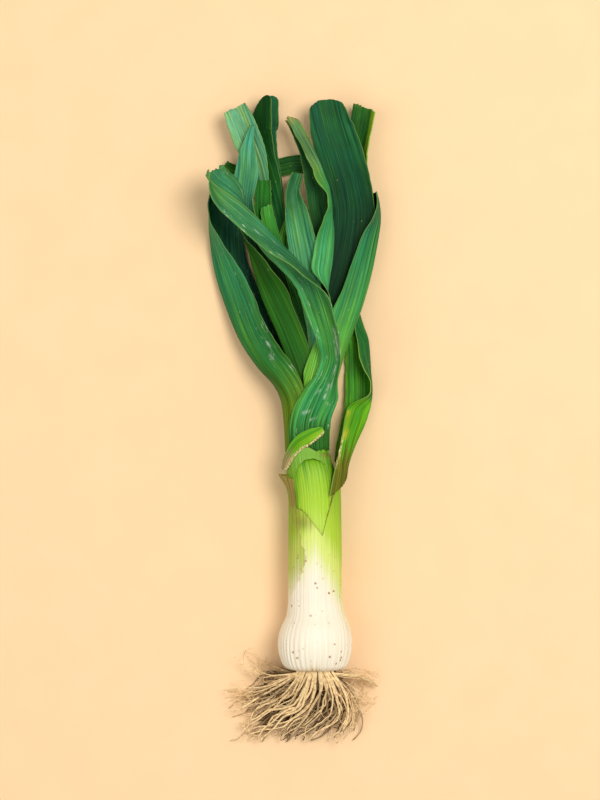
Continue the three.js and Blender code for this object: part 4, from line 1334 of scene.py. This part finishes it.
def plate_rings():
    """Rings of the uneven base plate from which the roots grow, with their shades."""
    turn = np.linspace(0, math.tau, PLATE_SIDES, endpoint=False)
    points = []
    for y, radius in PLATE_ROWS:
        wobble = radius * (1 + 0.05 * np.sin(7 * turn + y) + 0.04 * np.sin(17 * turn))
        x, z = wobble * np.cos(turn), PLATE_HEIGHT + wobble * np.sin(turn)
        points += np.stack([x, np.full(PLATE_SIDES, y), z], 1).tolist()
    return points, [PLATE_SHADE] * len(points)


def add_roots():
    points, faces, shades = [], [], []
    low, high = (np.array(corner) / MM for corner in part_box("root_tuft"))
    for line, radius, shade in root_lines():
        line = kept_inside(line, radius, low + ROOT_MARGIN, high - ROOT_MARGIN)
        if line is None:
            continue
        faces += ring_faces(len(points), len(line), ROOT_SIDES)
        rings = tube_points(line, radius, ROOT_SIDES).reshape(-1, 3)
        points += rings.tolist()
        # Painted shade: each root is darker next to the plate, under the bulb's edge, with some real brown
        # there
        from_plate = np.linspace(0, 1, len(line)) / ROOT_DARK_SHARE
        along = shade * (0.35 + 0.65 * np.minimum(1, from_plate))
        # Painted light: the thin sides of the tuft, which the light reaches, are painted paler than its
        # middle
        outside = np.clip((np.abs(line[:, 0] - TUFT_MIDDLE) - TUFT_DENSE) / 12, 0, 1)
        along = along + ROOT_SIDES_LIT_PALER * outside
        shades += np.repeat(along, ROOT_SIDES).tolist()
    plate_points, plate_shades = plate_rings()
    faces += ring_faces(len(points), len(PLATE_ROWS), PLATE_SIDES)
    points += plate_points
    shades += plate_shades
    piece = add_mesh("root_tuft_strands", points, faces, None, {"shade": shades})
    settle(piece, "root_tuft", root_material())


def add_floor():
    size = 3000
    corners = [[-size, -size, 0], [size, -size, 0], [size, size, 0], [-size, size, 0]]
    floor = add_mesh("floor", corners, [(0, 1, 2, 3)], smooth=False)
    g = Graph("floor_surface", roughness=0.9, specular=0.1)
    grain = g.noise(g.place(), scale=30, detail=3)
    colour = g.mix(g.remap(grain, 0.3, 0.7), (0.90, 0.625, 0.360), (0.92, 0.640, 0.372))
    floor.data.materials.append(g.finish(colour))


def add_light(name, place, size, power):
    data = bpy.data.lights.new(name, "AREA")
    data.shape = "DISK"
    data.size = size
    data.energy = power
    data.color = LIGHT_COLOUR
    light = bpy.data.objects.new(name, data)
    light.location = place
    way = np.array(LIGHT_TARGET) - np.array(place)
    tilt = math.acos(-way[2] / np.linalg.norm(way))
    light.rotation_euler = (tilt, 0, math.atan2(way[1], way[0]) - math.pi / 2)
    bpy.context.scene.collection.objects.link(light)


def add_lights():
    for name, light in LIGHTS.items():
        add_light(name, **light)
    world = bpy.data.worlds.new("studio")
    world.use_nodes = True
    background = world.node_tree.nodes["Background"]
    background.inputs["Color"].default_value = SKY_COLOUR
    background.inputs["Strength"].default_value = SKY_STRENGTH
    bpy.context.scene.world = world


def add_camera():
    """Straight above the leek, far enough off to be nearly without perspective."""
    lens = 150
    sensor = 36
    middle_x, middle_y, middle_z = VIEW_MIDDLE
    data = bpy.data.cameras.new("camera")
    data.lens = lens
    data.sensor_width = sensor
    data.clip_end = 20
    camera = bpy.data.objects.new("camera", data)
    camera.location = (middle_x * MM, middle_y * MM, (middle_z + SHOWN_HEIGHT * lens / sensor) * MM)
    bpy.context.scene.collection.objects.link(camera)
    bpy.context.scene.camera = camera


add_camera()
add_floor()
add_lights()
bpy.context.scene.view_settings.view_transform = "Standard"
add_shaft()
add_roots()
for number, leaf_name in enumerate(LEAVES):
    add_blade(leaf_name, LEAF_SEED + 7 * number)
